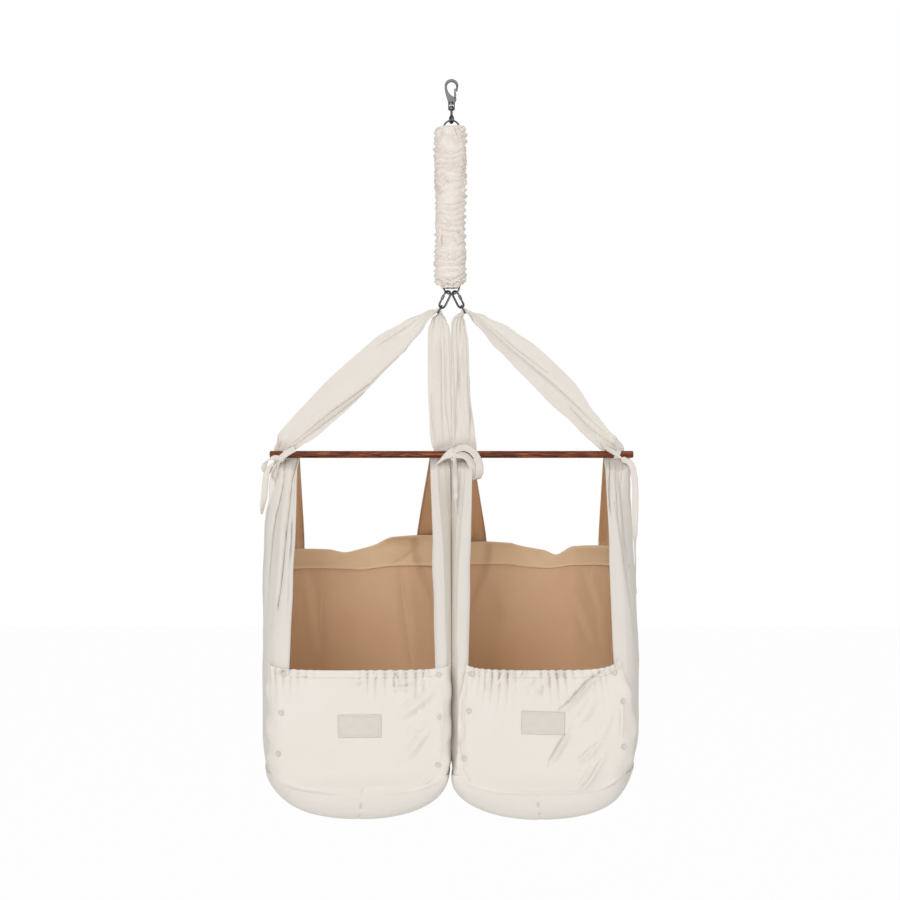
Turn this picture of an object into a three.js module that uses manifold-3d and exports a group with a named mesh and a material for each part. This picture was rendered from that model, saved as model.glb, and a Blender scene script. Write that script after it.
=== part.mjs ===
// Twin hanging baby cradle: two cloth bags under one spreader bar, on a covered spring with a snap hook
import * as THREE from 'three';
import { mergeVertices } from 'three/addons/utils/BufferGeometryUtils.js';
import Module from 'manifold-3d';

// Driving dimensions in millimetres: x right, y back, z up, origin where the hook's bow hangs
const seam = 0.5;
const bar = { length: 820, radius: 8, z: -840, endRound: 2 };
const hook = {
  depth: 8, bevel: 1.4, bowOuter: 15.5, bowInner: 10.5, bowZ: -10.5,
  collarRadius: 7.5, collarTop: -48, collarBottom: -64,
  windowTop: -50.5, windowBottom: -57.5, windowHalf: 5,
  pivotX: 8.2, pivotZ: -38.2, pinRadius: 1.2, gateTop: -14.9, gateHalf: 1.7,
};
const eye = { ring: 7.5, wire: 3, z: -84.5, turn: 25, stem: 2.8, head: 4.7, headHeight: 3.6 };
const spring = { wire: 2.1, radius: 17.9, top: -86.6, bottom: -479, turns: 62, bottomTurn: 172, lead: 22.4 };
const cover = {
  top: -101.5, bottom: -465, radius: 33, thick: 3, gathers: 22, depth: 3.2, tilt: 3.4, mouth: 21,
};
const strapInside = { width: 20, thick: 2.4, wave: 4, waves: 5, top: -131, bottom: -434 };
const clip = {
  tilt: 27, wire: 2.5, bend: 8.5, half: 12, turnLeft: 220, turnRight: 40, reach: 8,
  gateRadius: 2.1, sleeve: 3.3, rivet: 1, pivotZ: -9,
};
const ring = { wire: 2, bend: 10, bar: 8.4, gap: 0.4 };
const strap = { thick: 3, gatherThick: 5, pleats: 2.5, pleatDepth: 5 };
const tie = { width: 12, thick: 1.6, gap: 0.4, ribbon: 12 };
const bag = {
  rimZ: -1500, depth: 97, halfLength: 381, sideRound: 2.2, endRound: 61, cloth: 3,
  topZ: -843, bundleFront: 10.4, bundleBack: 22, folds: 4, tubGap: 1.8, cornerGap: 2,
  frontRimZ: -1279, backRimZ: -1050, backDip: 30, drawnFrom: -1430,
};
const outerSide = {
  topEdge: -345, topWall: -400, front: -333, back: -362, backTop: -362, wall: -405, drawn: 6,
  square: 3, fold: 5,
};
const innerSide = {
  topEdge: -48, topWall: -5, front: -34, back: -45, backTop: -87, wall: -4, drawn: -4,
  square: 8, fold: 2.5,
};
const flap = {
  outer: -374, inner: -16, top: -1279, seamZ: -1540, cornerRise: 66, cornerRound: 2.6,
  off: 5, belly: 9, tuck: 4.2, gathers: 6, gatherDepth: 3, cloth: 3,
};
const label = { width: 86, height: 44, thick: 1.4, gap: 0.8, left: [-188, -1394], right: [187, -1388] };
const cap = { radius: 5.6, height: 3, post: 2.2, lift: 0.8, gap: 0.3 };
const capPlaces = {
  left: [[-341, -1288], [-348, -1368], [-354, -1452], [-27, -1290], [-24, -1376], [-28, -1474]],
  right: [[-333, -1286], [-350, -1345], [-351, -1437], [-41, -1288], [-35, -1364], [-25, -1460]],
};
const mattress = {
  halfWidth: 152, endHalfWidth: 121, halfLength: 333, middleY: -14, topZ: -1534, crown: 7, lift: 7.5,
};

const degrees = Math.PI / 180;
const mix = (a, b, t) => a + (b - a) * t;
const clamp = (t) => Math.min(1, Math.max(0, t));
const smooth = (t) => clamp(t) ** 2 * (3 - 2 * clamp(t));
const power = (value, exponent) => Math.sign(value) * Math.abs(value) ** exponent;

// Finishes
const finish = (color, roughness, metalness = 0) => (
  new THREE.MeshStandardMaterial({ color, roughness, metalness })
);
const steel = finish(0x85878a, 0.3, 1);
const springSteel = finish(0x6f7174, 0.4, 1);
const cotton = finish(0xebe4da, 0.9);
const innerCotton = finish(0xd9c3a2, 0.9);
const wood = finish(0x6e3c28, 0.55);
const patch = finish(0xcfc7bb, 0.8);
const capPlastic = finish(0xd8d0c4, 0.45);
const foam = finish(0xf0ece4, 0.95);

const wasm = await Module();
wasm.setup();

function shared(geometry) {
  const plain = geometry.clone();
  for (const name of Object.keys(plain.attributes)) if (name !== 'position') plain.deleteAttribute(name);
  const merged = mergeVertices(plain, 1e-4);
  const kept = [];
  for (let i = 0; i < merged.index.count; i += 3) {
    const corners = [0, 1, 2].map((k) => merged.index.getX(i + k));
    if (new Set(corners).size === 3) kept.push(...corners);
  }
  merged.setIndex(kept);
  return merged;
}

// Turns a closed shape's faces outwards, whichever way its grid or its mirror image ran
function facingOut(geometry) {
  const merged = shared(geometry);
  const place = merged.attributes.position;
  const index = merged.index.array;
  const [a, b, c] = [new THREE.Vector3(), new THREE.Vector3(), new THREE.Vector3()];
  let volume = 0;
  for (let i = 0; i < index.length; i += 3) {
    a.fromBufferAttribute(place, index[i]);
    b.fromBufferAttribute(place, index[i + 1]);
    c.fromBufferAttribute(place, index[i + 2]);
    volume += a.dot(b.cross(c));
  }
  if (volume < 0) {
    for (let i = 0; i < index.length; i += 3) [index[i], index[i + 1]] = [index[i + 1], index[i]];
  }
  merged.computeVertexNormals();
  return merged;
}

function solid(geometry) {
  const merged = facingOut(geometry);
  return new wasm.Manifold(new wasm.Mesh({
    numProp: 3,
    vertProperties: Float32Array.from(merged.attributes.position.array),
    triVerts: Uint32Array.from(merged.index.array),
  }));
}

function fromSolid(body) {
  const { vertProperties, triVerts } = body.getMesh();
  const geometry = new THREE.BufferGeometry();
  geometry.setAttribute('position', new THREE.BufferAttribute(vertProperties, 3));
  geometry.setIndex(new THREE.BufferAttribute(triVerts, 1));
  return geometry;
}

function piece(name, geometry, material) {
  const mesh = new THREE.Mesh(facingOut(geometry), material);
  mesh.name = name;
  return mesh;
}

const mirrored = (geometry, side) => (side === 'right' ? geometry.clone().scale(-1, 1, 1) : geometry);

// A closed solid between two faces of one grid; wrapped grids close on themselves across
function gridSolid(faceA, faceB, across, along, wrapped = false) {
  const columns = wrapped ? across : across + 1;
  const rows = along + 1;
  const positions = [];
  for (const face of [faceA, faceB]) {
    for (let j = 0; j < rows; j++) {
      for (let i = 0; i < columns; i++) positions.push(...face(i / across, j / along));
    }
  }
  const half = columns * rows;
  const at = (i, j, face) => face * half + j * columns + (i % columns);
  const index = [];
  const quad = (a, b, c, d) => index.push(a, b, c, a, c, d);
  for (let j = 0; j < along; j++) {
    for (let i = 0; i < across; i++) {
      quad(at(i, j, 0), at(i + 1, j, 0), at(i + 1, j + 1, 0), at(i, j + 1, 0));
      quad(at(i, j, 1), at(i, j + 1, 1), at(i + 1, j + 1, 1), at(i + 1, j, 1));
    }
  }
  for (let i = 0; i < across; i++) {
    quad(at(i, 0, 0), at(i, 0, 1), at(i + 1, 0, 1), at(i + 1, 0, 0));
    quad(at(i, along, 0), at(i + 1, along, 0), at(i + 1, along, 1), at(i, along, 1));
  }
  for (let j = 0; j < along && !wrapped; j++) {
    quad(at(0, j, 0), at(0, j + 1, 0), at(0, j + 1, 1), at(0, j, 1));
    quad(at(across, j, 0), at(across, j, 1), at(across, j + 1, 1), at(across, j + 1, 0));
  }
  const geometry = new THREE.BufferGeometry();
  geometry.setAttribute('position', new THREE.Float32BufferAttribute(positions, 3));
  geometry.setIndex(index);
  return geometry;
}

// Cloth: a smooth surface pushed in and out along its normal by folds, with a thickness
function cloth({ surface, folds = () => 0, thick, across, along, wrapped = false }) {
  const step = 0.004;
  const normal = (u, v) => {
    const [u0, u1] = wrapped ? [u - step, u + step] : [Math.max(0, u - step), Math.min(1, u + step)];
    const [v0, v1] = [Math.max(0, v - step), Math.min(1, v + step)];
    const du = surface(u1, v).sub(surface(u0, v));
    const dv = surface(u, v1).sub(surface(u, v0));
    return du.cross(dv).normalize();
  };
  const thickness = typeof thick === 'function' ? thick : () => thick;
  const face = (side) => (u, v) => {
    const shift = folds(u, v) + side * thickness(u, v) / 2;
    return surface(u, v).addScaledVector(normal(u, v), shift).toArray();
  };
  return gridSolid(face(1), face(-1), across, along, wrapped);
}

function roundSection(radius, sides) {
  return new THREE.Shape(Array.from({ length: sides }, (_, i) => {
    const angle = (i / sides) * 2 * Math.PI;
    return new THREE.Vector2(radius * Math.cos(angle), radius * Math.sin(angle));
  }));
}

function rod(points, radius, sides, steps) {
  const places = points.map((p) => new THREE.Vector3(...p));
  const path = new THREE.CatmullRomCurve3(places, false, 'centripetal');
  const options = { steps, extrudePath: path, bevelEnabled: false };
  return new THREE.ExtrudeGeometry(roundSection(radius, sides), options);
}

const lathe = (profile, sides) => new THREE.LatheGeometry(profile.map((p) => new THREE.Vector2(...p)), sides)
  .rotateX(Math.PI / 2);

// A plate outlined in the x and z directions, centred on y = 0
function plate(shape, depth, bevel = 0) {
  const settings = {
    depth: depth - 2 * bevel, curveSegments: 6, bevelEnabled: bevel > 0,
    bevelThickness: bevel, bevelSize: bevel * 0.8, bevelOffset: -bevel * 0.8, bevelSegments: 1,
  };
  return new THREE.ExtrudeGeometry(shape, settings).translate(0, 0, bevel - depth / 2).rotateX(Math.PI / 2);
}

const block = (x0, x1, y0, y1, z0, z1) => new THREE.BoxGeometry(x1 - x0, y1 - y0, z1 - z0)
  .translate((x0 + x1) / 2, (y0 + y1) / 2, (z0 + z1) / 2);

// Snap hook: a cast bow with a sprung gate, over a windowed collar that holds the swivel's head
function hookBody() {
  const { bowOuter, bowInner, bowZ, collarBottom, collarTop, collarRadius } = hook;
  const nose = -25 * degrees;
  const shape = new THREE.Shape();
  shape.moveTo(-6, collarTop - 4);
  shape.lineTo(-7.3, collarTop);
  shape.bezierCurveTo(-8.6, -38, -bowOuter, -26, -bowOuter, bowZ + 1.5);
  shape.absarc(0, bowZ + 1.5, bowOuter, Math.PI, nose, true);
  shape.lineTo(13.4, -20.5);
  shape.quadraticCurveTo(12, -22.2, 10, -20.6);
  shape.absarc(0, bowZ, bowInner, nose, Math.PI, false);
  shape.bezierCurveTo(-bowInner, -22, -3, -30, 6.5, -34.5);
  shape.lineTo(10.8, -35);
  shape.lineTo(10.9, -41);
  shape.lineTo(7.3, collarTop);
  shape.lineTo(6, collarTop - 4);
  shape.closePath();
  const collar = lathe([
    [0, collarTop + 3], [4.5, collarTop + 3], [collarRadius, collarTop], [collarRadius, collarBottom + 1.5],
    [collarRadius - 1.5, collarBottom], [0, collarBottom],
  ], 20);
  const pinHole = new THREE.CylinderGeometry(hook.pinRadius + 0.25, hook.pinRadius + 0.25, 20, 10)
    .translate(hook.pivotX, 0, hook.pivotZ);
  const bore = new THREE.CylinderGeometry(eye.stem + 0.4, eye.stem + 0.4, 20, 12).rotateX(Math.PI / 2)
    .translate(0, 0, hook.windowBottom - 9);
  return fromSolid(solid(plate(shape, hook.depth, hook.bevel)).add(solid(collar))
    .subtract(solid(block(-hook.windowHalf, hook.windowHalf, -12, 12, hook.windowBottom, hook.windowTop)))
    .subtract(solid(bore))
    .subtract(solid(block(1.5, 14, -2.2, 2.2, -42.5, -27)))
    .subtract(solid(pinHole)));
}

function hookGate() {
  const { pivotX, pivotZ, gateTop, gateHalf } = hook;
  const shape = new THREE.Shape();
  shape.moveTo(pivotX - gateHalf - 0.6, gateTop - 1.4);
  shape.lineTo(pivotX - gateHalf + 0.8, gateTop);
  shape.lineTo(pivotX + gateHalf - 0.8, gateTop);
  shape.lineTo(pivotX + gateHalf - 0.6, -22.8);
  shape.lineTo(pivotX + gateHalf + 0.6, -24.5);
  shape.absarc(pivotX, pivotZ, gateHalf + 0.6, 0, -Math.PI, true);
  const hole = new THREE.CylinderGeometry(hook.pinRadius + 0.25, hook.pinRadius + 0.25, 20, 10)
    .translate(pivotX, 0, pivotZ);
  return fromSolid(solid(plate(shape, 3.6, 0.6)).subtract(solid(hole)));
}

function hookParts() {
  const group = new THREE.Group();
  const pin = new THREE.CylinderGeometry(hook.pinRadius, hook.pinRadius, hook.depth + 0.6, 10)
    .translate(hook.pivotX, 0, hook.pivotZ);
  group.add(piece('hook_body', hookBody(), steel));
  group.add(piece('hook_gate_pin', pin, steel));
  group.add(piece('hook_gate', hookGate(), steel));
  return group;
}

// Swivel: a peened head in the collar's window, a stem, and a ring eye turned a little from edge on
function swivelEye() {
  const floor = hook.windowBottom + 0.3;
  const stemEnd = eye.z + eye.ring;
  const stem = lathe([
    [0, floor + eye.headHeight], [eye.head - 1.2, floor + eye.headHeight], [eye.head, floor + 1.6],
    [eye.head, floor], [eye.stem, floor], [eye.stem, stemEnd + 4], [eye.stem + 0.8, stemEnd], [0, stemEnd],
  ], 14);
  const loop = new THREE.TorusGeometry(eye.ring, eye.wire, 6, 16).rotateY(Math.PI / 2)
    .rotateZ(eye.turn * degrees).translate(0, 0, eye.z);
  return piece('swivel_eye', fromSolid(solid(stem).add(solid(loop))), steel);
}

// Extension spring: one wire drawn as two end loops and a coil, so that the coil can stretch
const loopCentre = (wireZ, direction) => wireZ - direction * spring.radius;

// The wire's way from the coil, around a standing loop; direction is 1 at the top end, -1 at the bottom
function loopPath(direction, turn) {
  const { radius, lead } = spring;
  const points = [];
  for (const angle of [-90, -72, -54, -36, -20]) {
    points.push([radius * Math.cos(angle * degrees), radius * Math.sin(angle * degrees), -lead]);
  }
  points.push([radius, -1.6, -lead + 2.2], [radius, 0, -lead + 7]);
  for (let angle = -20; angle <= 215; angle += 23.5) {
    points.push([radius * Math.cos(angle * degrees), 0, radius * Math.sin(angle * degrees)]);
  }
  const wireZ = direction > 0 ? spring.top : spring.bottom;
  const turned = turn * degrees;
  return points.map(([x, y, z]) => {
    const flipped = direction * y;
    return [
      x * Math.cos(turned) - flipped * Math.sin(turned),
      x * Math.sin(turned) + flipped * Math.cos(turned),
      loopCentre(wireZ, direction) + direction * z,
    ];
  });
}

function springCoil() {
  const { radius, wire, turns, bottomTurn, lead } = spring;
  const [stepsPerTurn, sides, endGap] = [6, 4, 1.4];
  const top = loopCentre(spring.top, 1) - lead;
  const bottom = loopCentre(spring.bottom, -1) + lead;
  const from = -90 * degrees - endGap / radius;
  const to = (90 + bottomTurn) * degrees - (turns + 1) * 2 * Math.PI + endGap / radius;
  const pitch = (top - bottom) / ((from - to) / (2 * Math.PI));
  const steps = Math.round(((from - to) / (2 * Math.PI)) * stepsPerTurn);
  const gap = pitch - 2 * wire;
  console.log(`spring coil: pitch ${pitch.toFixed(2)}, least gap between turns ${gap.toFixed(2)}`);
  const positions = [];
  for (let i = 0; i <= steps; i++) {
    const angle = mix(from, to, i / steps);
    for (let j = 0; j < sides; j++) {
      const around = (j / sides) * 2 * Math.PI;
      const away = radius + wire * Math.cos(around);
      const height = mix(top, bottom, i / steps) + wire * Math.sin(around);
      positions.push(away * Math.cos(angle), away * Math.sin(angle), height);
    }
  }
  const index = [];
  for (let i = 0; i < steps; i++) {
    for (let j = 0; j < sides; j++) {
      const [a, b] = [i * sides + j, i * sides + ((j + 1) % sides)];
      index.push(a, b, b + sides, a, b + sides, a + sides);
    }
  }
  for (let j = 1; j < sides - 1; j++) {
    const last = steps * sides;
    index.push(0, j + 1, j, last, last + j, last + j + 1);
  }
  const geometry = new THREE.BufferGeometry();
  geometry.setAttribute('position', new THREE.Float32BufferAttribute(positions, 3));
  geometry.setIndex(index);
  return geometry;
}

// The cotton tube over the spring, gathered into ridges and drawn in at its lower mouth
function springCover() {
  const { top, bottom, radius, thick, gathers, depth, tilt, mouth } = cover;
  const ridge = (v, angle) => {
    const wander = 0.5 * Math.sin(angle + 9 * v) + 0.35 * Math.sin(2 * angle - 14 * v);
    return Math.sin(2 * Math.PI * (gathers * v) + wander);
  };
  const surface = (u, v) => {
    const angle = u * 2 * Math.PI;
    const drawn = smooth((v - 0.93) / 0.07);
    const reach = mix(radius - 1.5 * smooth(1 - v / 0.04), mouth, drawn) + 1.6 * Math.sin(7 * v + 0.6);
    const height = mix(top, bottom, v) + tilt * Math.cos(angle) * (1 - smooth(v / 0.08));
    return new THREE.Vector3(reach * Math.cos(angle), reach * Math.sin(angle), height);
  };
  const folds = (u, v) => depth * ridge(v, u * 2 * Math.PI) * Math.sin(Math.PI * v) ** 0.3;
  return cloth({ surface, folds, thick, across: 10, along: 2 * gathers, wrapped: true });
}

function safetyStrap() {
  const { width, thick, wave, waves, top, bottom } = strapInside;
  const surface = (u, v) => new THREE.Vector3(
    mix(-width / 2, width / 2, u), wave * Math.sin(v * waves * 2 * Math.PI), mix(top, bottom, v),
  );
  return cloth({ surface, thick, across: 1, along: 22 });
}

function springParts() {
  const group = new THREE.Group();
  group.add(piece('spring_top_loop', rod(loopPath(1, 0), spring.wire, 6, 30), springSteel));
  group.add(piece('spring_coil', springCoil(), springSteel));
  group.add(piece('spring_cover', springCover(), cotton));
  group.add(piece('safety_strap', safetyStrap(), cotton));
  const bottomLoop = rod(loopPath(-1, spring.bottomTurn), spring.wire, 6, 30);
  group.add(piece('spring_bottom_loop', bottomLoop, springSteel));
  return group;
}

// Snap links, upright about their middle: a bent wire body, a pivoting gate with a sleeve, and its rivet
function clipBody() {
  const { wire, bend, half, pivotZ, rivet } = clip;
  const points = [[bend, 0, half - 0.5]];
  for (let angle = 0; angle <= 180; angle += 30) {
    points.push([bend * Math.cos(angle * degrees), 0, half + bend * Math.sin(angle * degrees)]);
  }
  points.push([-bend, 0, 0]);
  for (let angle = 180; angle <= 360; angle += 30) {
    points.push([bend * Math.cos(angle * degrees), 0, -half + bend * Math.sin(angle * degrees)]);
  }
  points.push([bend, 0, -half + 0.3]);
  const tang = block(bend - 1.9, bend + 1.9, -1, 1, -half - 2, pivotZ + 2.6);
  const hole = new THREE.CylinderGeometry(rivet + 0.2, rivet + 0.2, 20, 8).translate(bend, 0, pivotZ);
  return fromSolid(solid(rod(points, wire, 6, 24)).add(solid(tang)).subtract(solid(hole)));
}

function clipGate() {
  const { bend, half, gateRadius, sleeve, pivotZ, rivet } = clip;
  const [bottom, top] = [pivotZ - 1.4, half - 0.9];
  const profile = [
    [0, bottom], [gateRadius, bottom], [gateRadius, -3.5], [sleeve, -3], [sleeve, 6.5], [gateRadius, 7.5],
    [gateRadius, top], [0, top],
  ];
  const fork = block(-5, 5, -1.3, 1.3, bottom - 3, pivotZ + 3.2);
  const hole = new THREE.CylinderGeometry(rivet + 0.2, rivet + 0.2, 20, 8).translate(0, 0, pivotZ);
  const gate = solid(lathe(profile, 12)).subtract(solid(fork)).subtract(solid(hole));
  return fromSolid(gate).translate(bend, 0, 0);
}

// The ring's straight lower bar, where the cloth is draped, lies below its bend
function strapRing() {
  const { bend, bar: low } = ring;
  const right = [[bend * 0.71, bend * 0.71], [bend, 0], [bend * 0.95, -low * 0.55], [bend * 0.68, -low]];
  const points = [[0, bend], ...right, [0, -low], ...right.reverse().map(([y, z]) => [-y, z])];
  const places = points.map(([y, z]) => new THREE.Vector3(0, y, z));
  const path = new THREE.CatmullRomCurve3(places, true, 'centripetal');
  return new THREE.TubeGeometry(path, 20, ring.wire, 6, true);
}

// Distances down the tilted line from the loop's wire to a snap link's middle and to its ring
const clipTop = spring.wire + 2 * ring.gap + clip.wire;
const clipMiddle = clip.half + clip.bend - clipTop;
const ringTop = 2 * (clip.half + clip.bend) - clipTop - clip.wire - ring.gap - ring.wire;
const ringMiddle = ringTop + ring.bend;
const ringBar = ringMiddle + ring.bar;

// Where each snap link hangs on the bottom loop's curved wire, on either side of its lowest point
function hangPoint(side) {
  const reach = side === 'left' ? clip.reach : -clip.reach;
  const turn = spring.bottomTurn * degrees;
  const rise = spring.radius - Math.sqrt(spring.radius ** 2 - reach ** 2);
  return new THREE.Vector3(reach * Math.cos(turn), reach * Math.sin(turn), spring.bottom + rise);
}

function clipParts(side) {
  const sign = side === 'left' ? -1 : 1;
  const group = new THREE.Group();
  const link = new THREE.Group();
  const turn = (side === 'left' ? clip.turnLeft : clip.turnRight) * degrees;
  for (const [name, geometry] of [
    ['body', clipBody()], ['gate', clipGate()],
    ['rivet', new THREE.CylinderGeometry(clip.rivet, clip.rivet, 5, 8).translate(clip.bend, 0, clip.pivotZ)],
  ]) link.add(piece(`carabiner_${side}_${name}`, geometry, steel));
  link.rotation.z = turn;
  link.position.z = -clipMiddle;
  group.add(link);
  const loop = piece(`strap_ring_${side}`, strapRing(), steel);
  loop.position.z = -ringMiddle;
  group.add(loop);
  group.position.copy(hangPoint(side));
  group.rotation.y = -sign * clip.tilt * degrees;
  return group;
}

// Hanger strap: one cloth from the bar's end, over the ring's bar, and down to the bar's middle
function hangerStrap(side) {
  const tilt = clip.tilt * degrees;
  const from = hangPoint(side);
  const ringX = -Math.abs(from.x) - ringBar * Math.sin(tilt);
  const ringZ = from.z - ringBar * Math.cos(tilt);
  const wrap = ring.wire + 0.8 + strap.gatherThick / 2;
  const overRing = (angle) => [
    ringX + wrap * Math.cos(angle * degrees), from.y, ringZ + wrap * Math.sin(angle * degrees), 11, 0,
  ];
  const behindBar = bar.radius + tie.gap + tie.thick + seam + strap.gatherThick / 2;
  // Each station is x, y, z, the cloth's width, and how far it has turned from front-to-back to sideways
  const stations = [
    [-374, behindBar, bar.z + 3, 40, 90], [-373, behindBar - 0.5, bar.z + 14, 41, 90],
    [-354, 2, -804, 58, 84], [-314, 0, -763, 74, 78], [-242, 0, -691, 82, 72],
    [-155, 0, -606, 76, 64], [-96, 0, -552, 52, 44], overRing(132), overRing(88), overRing(44), overRing(0),
    [ringX + wrap, 0, -545, 26, -36], [-29, 0, -588, 44, -66], [-29, 0, -700, 46, -80],
    [-29, 2, -803, 45, -84], [-29, behindBar - 0.5, bar.z + 14, 42, -90],
    [-29, behindBar, bar.z + 3, 42, -90],
  ];
  const path = new THREE.CatmullRomCurve3(stations.map(([x, y, z]) => new THREE.Vector3(x, y, z)));
  const along = (v, column) => {
    const place = v * (stations.length - 1);
    const i = Math.min(stations.length - 2, Math.floor(place));
    return mix(stations[i][column], stations[i + 1][column], smooth(place - i));
  };
  const surface = (u, v) => {
    const tangent = path.getTangent(v);
    const turned = along(v, 4) * degrees;
    const sideways = new THREE.Vector3().crossVectors(tangent, new THREE.Vector3(0, 1, 0)).normalize();
    const widthWay = new THREE.Vector3(0, Math.cos(turned), 0).addScaledVector(sideways, Math.sin(turned));
    return path.getPoint(v).addScaledVector(widthWay, (u - 0.5) * along(v, 3));
  };
  const spread = (v) => smooth((along(v, 3) - 34) / 40);
  const folds = (u, v) => strap.pleatDepth * spread(v) * Math.sin(u * strap.pleats * 2 * Math.PI + 0.7);
  const thick = (u, v) => mix(strap.gatherThick, strap.thick, spread(v));
  return cloth({ surface, folds, thick, across: 8, along: 26 });
}

function spreaderBar() {
  const { length, radius, endRound } = bar;
  const profile = [
    [0, -length / 2], [radius - endRound, -length / 2], [radius, -length / 2 + endRound],
    [radius, length / 2 - endRound], [radius - endRound, length / 2], [0, length / 2],
  ];
  return lathe(profile, 20).rotateY(Math.PI / 2).translate(0, 0, bar.z);
}

// A flat ribbon along points, its width lying along x unless another way is given
function ribbon(points, width, steps, way = [1, 0, 0]) {
  const places = points.map((p) => new THREE.Vector3(...p));
  const path = new THREE.CatmullRomCurve3(places, false, 'centripetal');
  const widthWay = new THREE.Vector3(...way).normalize();
  const surface = (u, v) => path.getPoint(v).addScaledVector(widthWay, (u - 0.5) * width);
  return cloth({ surface, thick: tie.thick, across: 1, along: steps });
}

const barBand = (x, width) => {
  const inner = bar.radius + tie.gap;
  const outer = inner + tie.thick;
  const [a, b] = [-width / 2, width / 2];
  return lathe([[inner, a], [outer, a], [outer, b], [inner, b], [inner, a]], 12)
    .rotateY(Math.PI / 2).translate(x, 0, bar.z);
};

const knot = (x, y, z) => new THREE.SphereGeometry(1, 8, 5).scale(8, 6, 7).translate(x, y, z);

function joined(...shapes) {
  return fromSolid(shapes.map(solid).reduce((whole, next) => whole.add(next)));
}

// How far forward a side wall's front edge has come at a height, with room for a ribbon on it
const onFrontEdge = (z) => sideEdges(innerSide, z).yFront - 9;

function tieParts() {
  const group = new THREE.Group();
  const front = -bar.radius - 7;
  const { ribbon: wide } = tie;
  const bowLeft = [
    [-382, front, -842], [-394, front - 7, -850], [-414, front - 8, -864], [-424, front - 8, -882],
    [-412, front - 6, -888], [-398, front - 4, -868], [-382, front, -846],
  ];
  const left = joined(
    barBand(-379, tie.width), knot(-381, front, -844), ribbon(bowLeft, wide, 10, [0.3, 1, 0.2]),
    ribbon([[-382, front, -845], [-404, front - 8, -872], [-428, front - 13, -905], [-436, front - 16, -962]],
      wide, 6, [0.6, 1, 0]),
    ribbon([[-384, front, -844], [-408, front - 14, -864], [-430, front - 28, -886],
      [-437, front - 36, -940]],
      10, 6, [0.6, 1, 0]),
  );
  const bowCentre = [
    [4, front, -841], [20, -38, -852], [44, -52, -862], [66, -64, -876],
    [60, -72, -892], [38, -56, -876], [4, front, -846],
  ];
  const tail = [-870, -900, -935].map((z, i) => [14 + 6 * i, onFrontEdge(z), z]);
  const centre = joined(
    barBand(0, tie.width), knot(2, front, -843), ribbon(bowCentre, wide, 10, [0.2, 1, 0.3]),
    ribbon([[4, front, -844], [9, front - 12, -852], ...tail], wide, 8),
  );
  const right = joined(
    barBand(379, tie.width), knot(381, front, -842),
    ribbon([[379, front, -842], [362, front - 2, -832], [346, front - 1, -822]], 16, 5, [0.5, 0.2, -0.8]),
    ribbon([[381, front, -843], [402, front - 9, -856], [424, front - 16, -890], [435, front - 20, -970],
      [436, front - 20, -1070], [434, front - 20, -1150]], wide, 8, [0.5, 1, 0]),
  );
  for (const [name, form] of [['tie_left', left], ['tie_center', centre], ['tie_right', right]]) {
    group.add(piece(name, form, cotton));
  }
  return group;
}

// The edges of a bag's side wall at a height: front and back ends, and the wall's furthest reach in x
function sideEdges(side, z) {
  const drop = bag.topZ - z;
  const under = smooth((drop - 5) / 28);
  const frontShare = clamp(drop / (bag.topZ - bag.frontRimZ));
  const backShare = clamp(drop / (bag.topZ - bag.backRimZ));
  const lower = smooth((bag.backRimZ - z) / (bag.backRimZ - bag.rimZ));
  return {
    yFront: mix(bag.bundleFront, mix(-14, -bag.halfLength, frontShare), under),
    yBack: mix(bag.bundleBack, bag.halfLength, backShare),
    xFront: mix(side.topEdge, side.front, frontShare),
    xBack: mix(mix(side.topEdge, side.backTop, backShare), side.back, lower),
    wall: mix(side.topWall, side.wall, smooth(drop / 150))
      + side.drawn * smooth((bag.drawnFrom - z) / (bag.drawnFrom - bag.rimZ)),
    square: mix(2, side.square, smooth(drop / 420)),
  };
}

function sidePoint(side, s, z) {
  const edges = sideEdges(side, z);
  const angle = Math.PI * (s + 0.07 * Math.sin(2 * Math.PI * s));
  const bulge = Math.max(0, Math.sin(angle)) ** (2 / edges.square);
  const place = -power(Math.cos(angle), 2 / edges.square);
  const k = (place + 1) / 2;
  const edgeX = mix(edges.xFront, edges.xBack, k);
  return new THREE.Vector3(mix(edgeX, edges.wall, bulge), mix(edges.yFront, edges.yBack, k), z);
}

function sideWall(side) {
  const height = (v) => mix(bag.topZ, bag.rimZ + seam / 2, v ** 2);
  const surface = (u, v) => sidePoint(side, u, height(v));
  const folds = (u, v) => {
    const edge = smooth((Math.min(u, 1 - u) - 0.12) / 0.15);
    const level = smooth((v - 0.1) / 0.3) * (1 - smooth((v - 0.7) / 0.3));
    return side.fold * edge * level * Math.sin(2 * Math.PI * bag.folds * u + 0.8);
  };
  return cloth({ surface, folds, thick: bag.cloth, across: 12, along: 8 });
}

// Round the tub's ends: place from -1 to 1 along the bag, and how deep the tub is there
function tubRun(t) {
  const arcShare = 0.28;
  const straight = bag.halfLength - bag.endRound;
  const from = Math.abs(2 * t - 1);
  const sign = Math.sign(t - 0.5);
  if (from < 1 - arcShare) return [sign * straight * from / (1 - arcShare), 1];
  const angle = ((from - 1 + arcShare) / arcShare) * Math.PI / 2;
  return [sign * (straight + bag.endRound * Math.sin(angle)), Math.cos(angle)];
}

// The bag's outline in plan at the rim: outer and inner wall for a place along the bag
function planAt(y) {
  const k = (y / bag.halfLength + 1) / 2;
  return [outerSide, innerSide].map((side) => {
    const edge = mix(side.front, side.back, k);
    const bulge = Math.max(0, 1 - Math.abs(y / bag.halfLength) ** side.square) ** (1 / side.square);
    return mix(edge, side.wall + side.drawn, bulge);
  });
}

function tubDepth(across, end) {
  return bag.depth * Math.max(0, 1 - Math.abs(across) ** bag.sideRound) ** (1 / bag.sideRound) * end;
}

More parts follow.
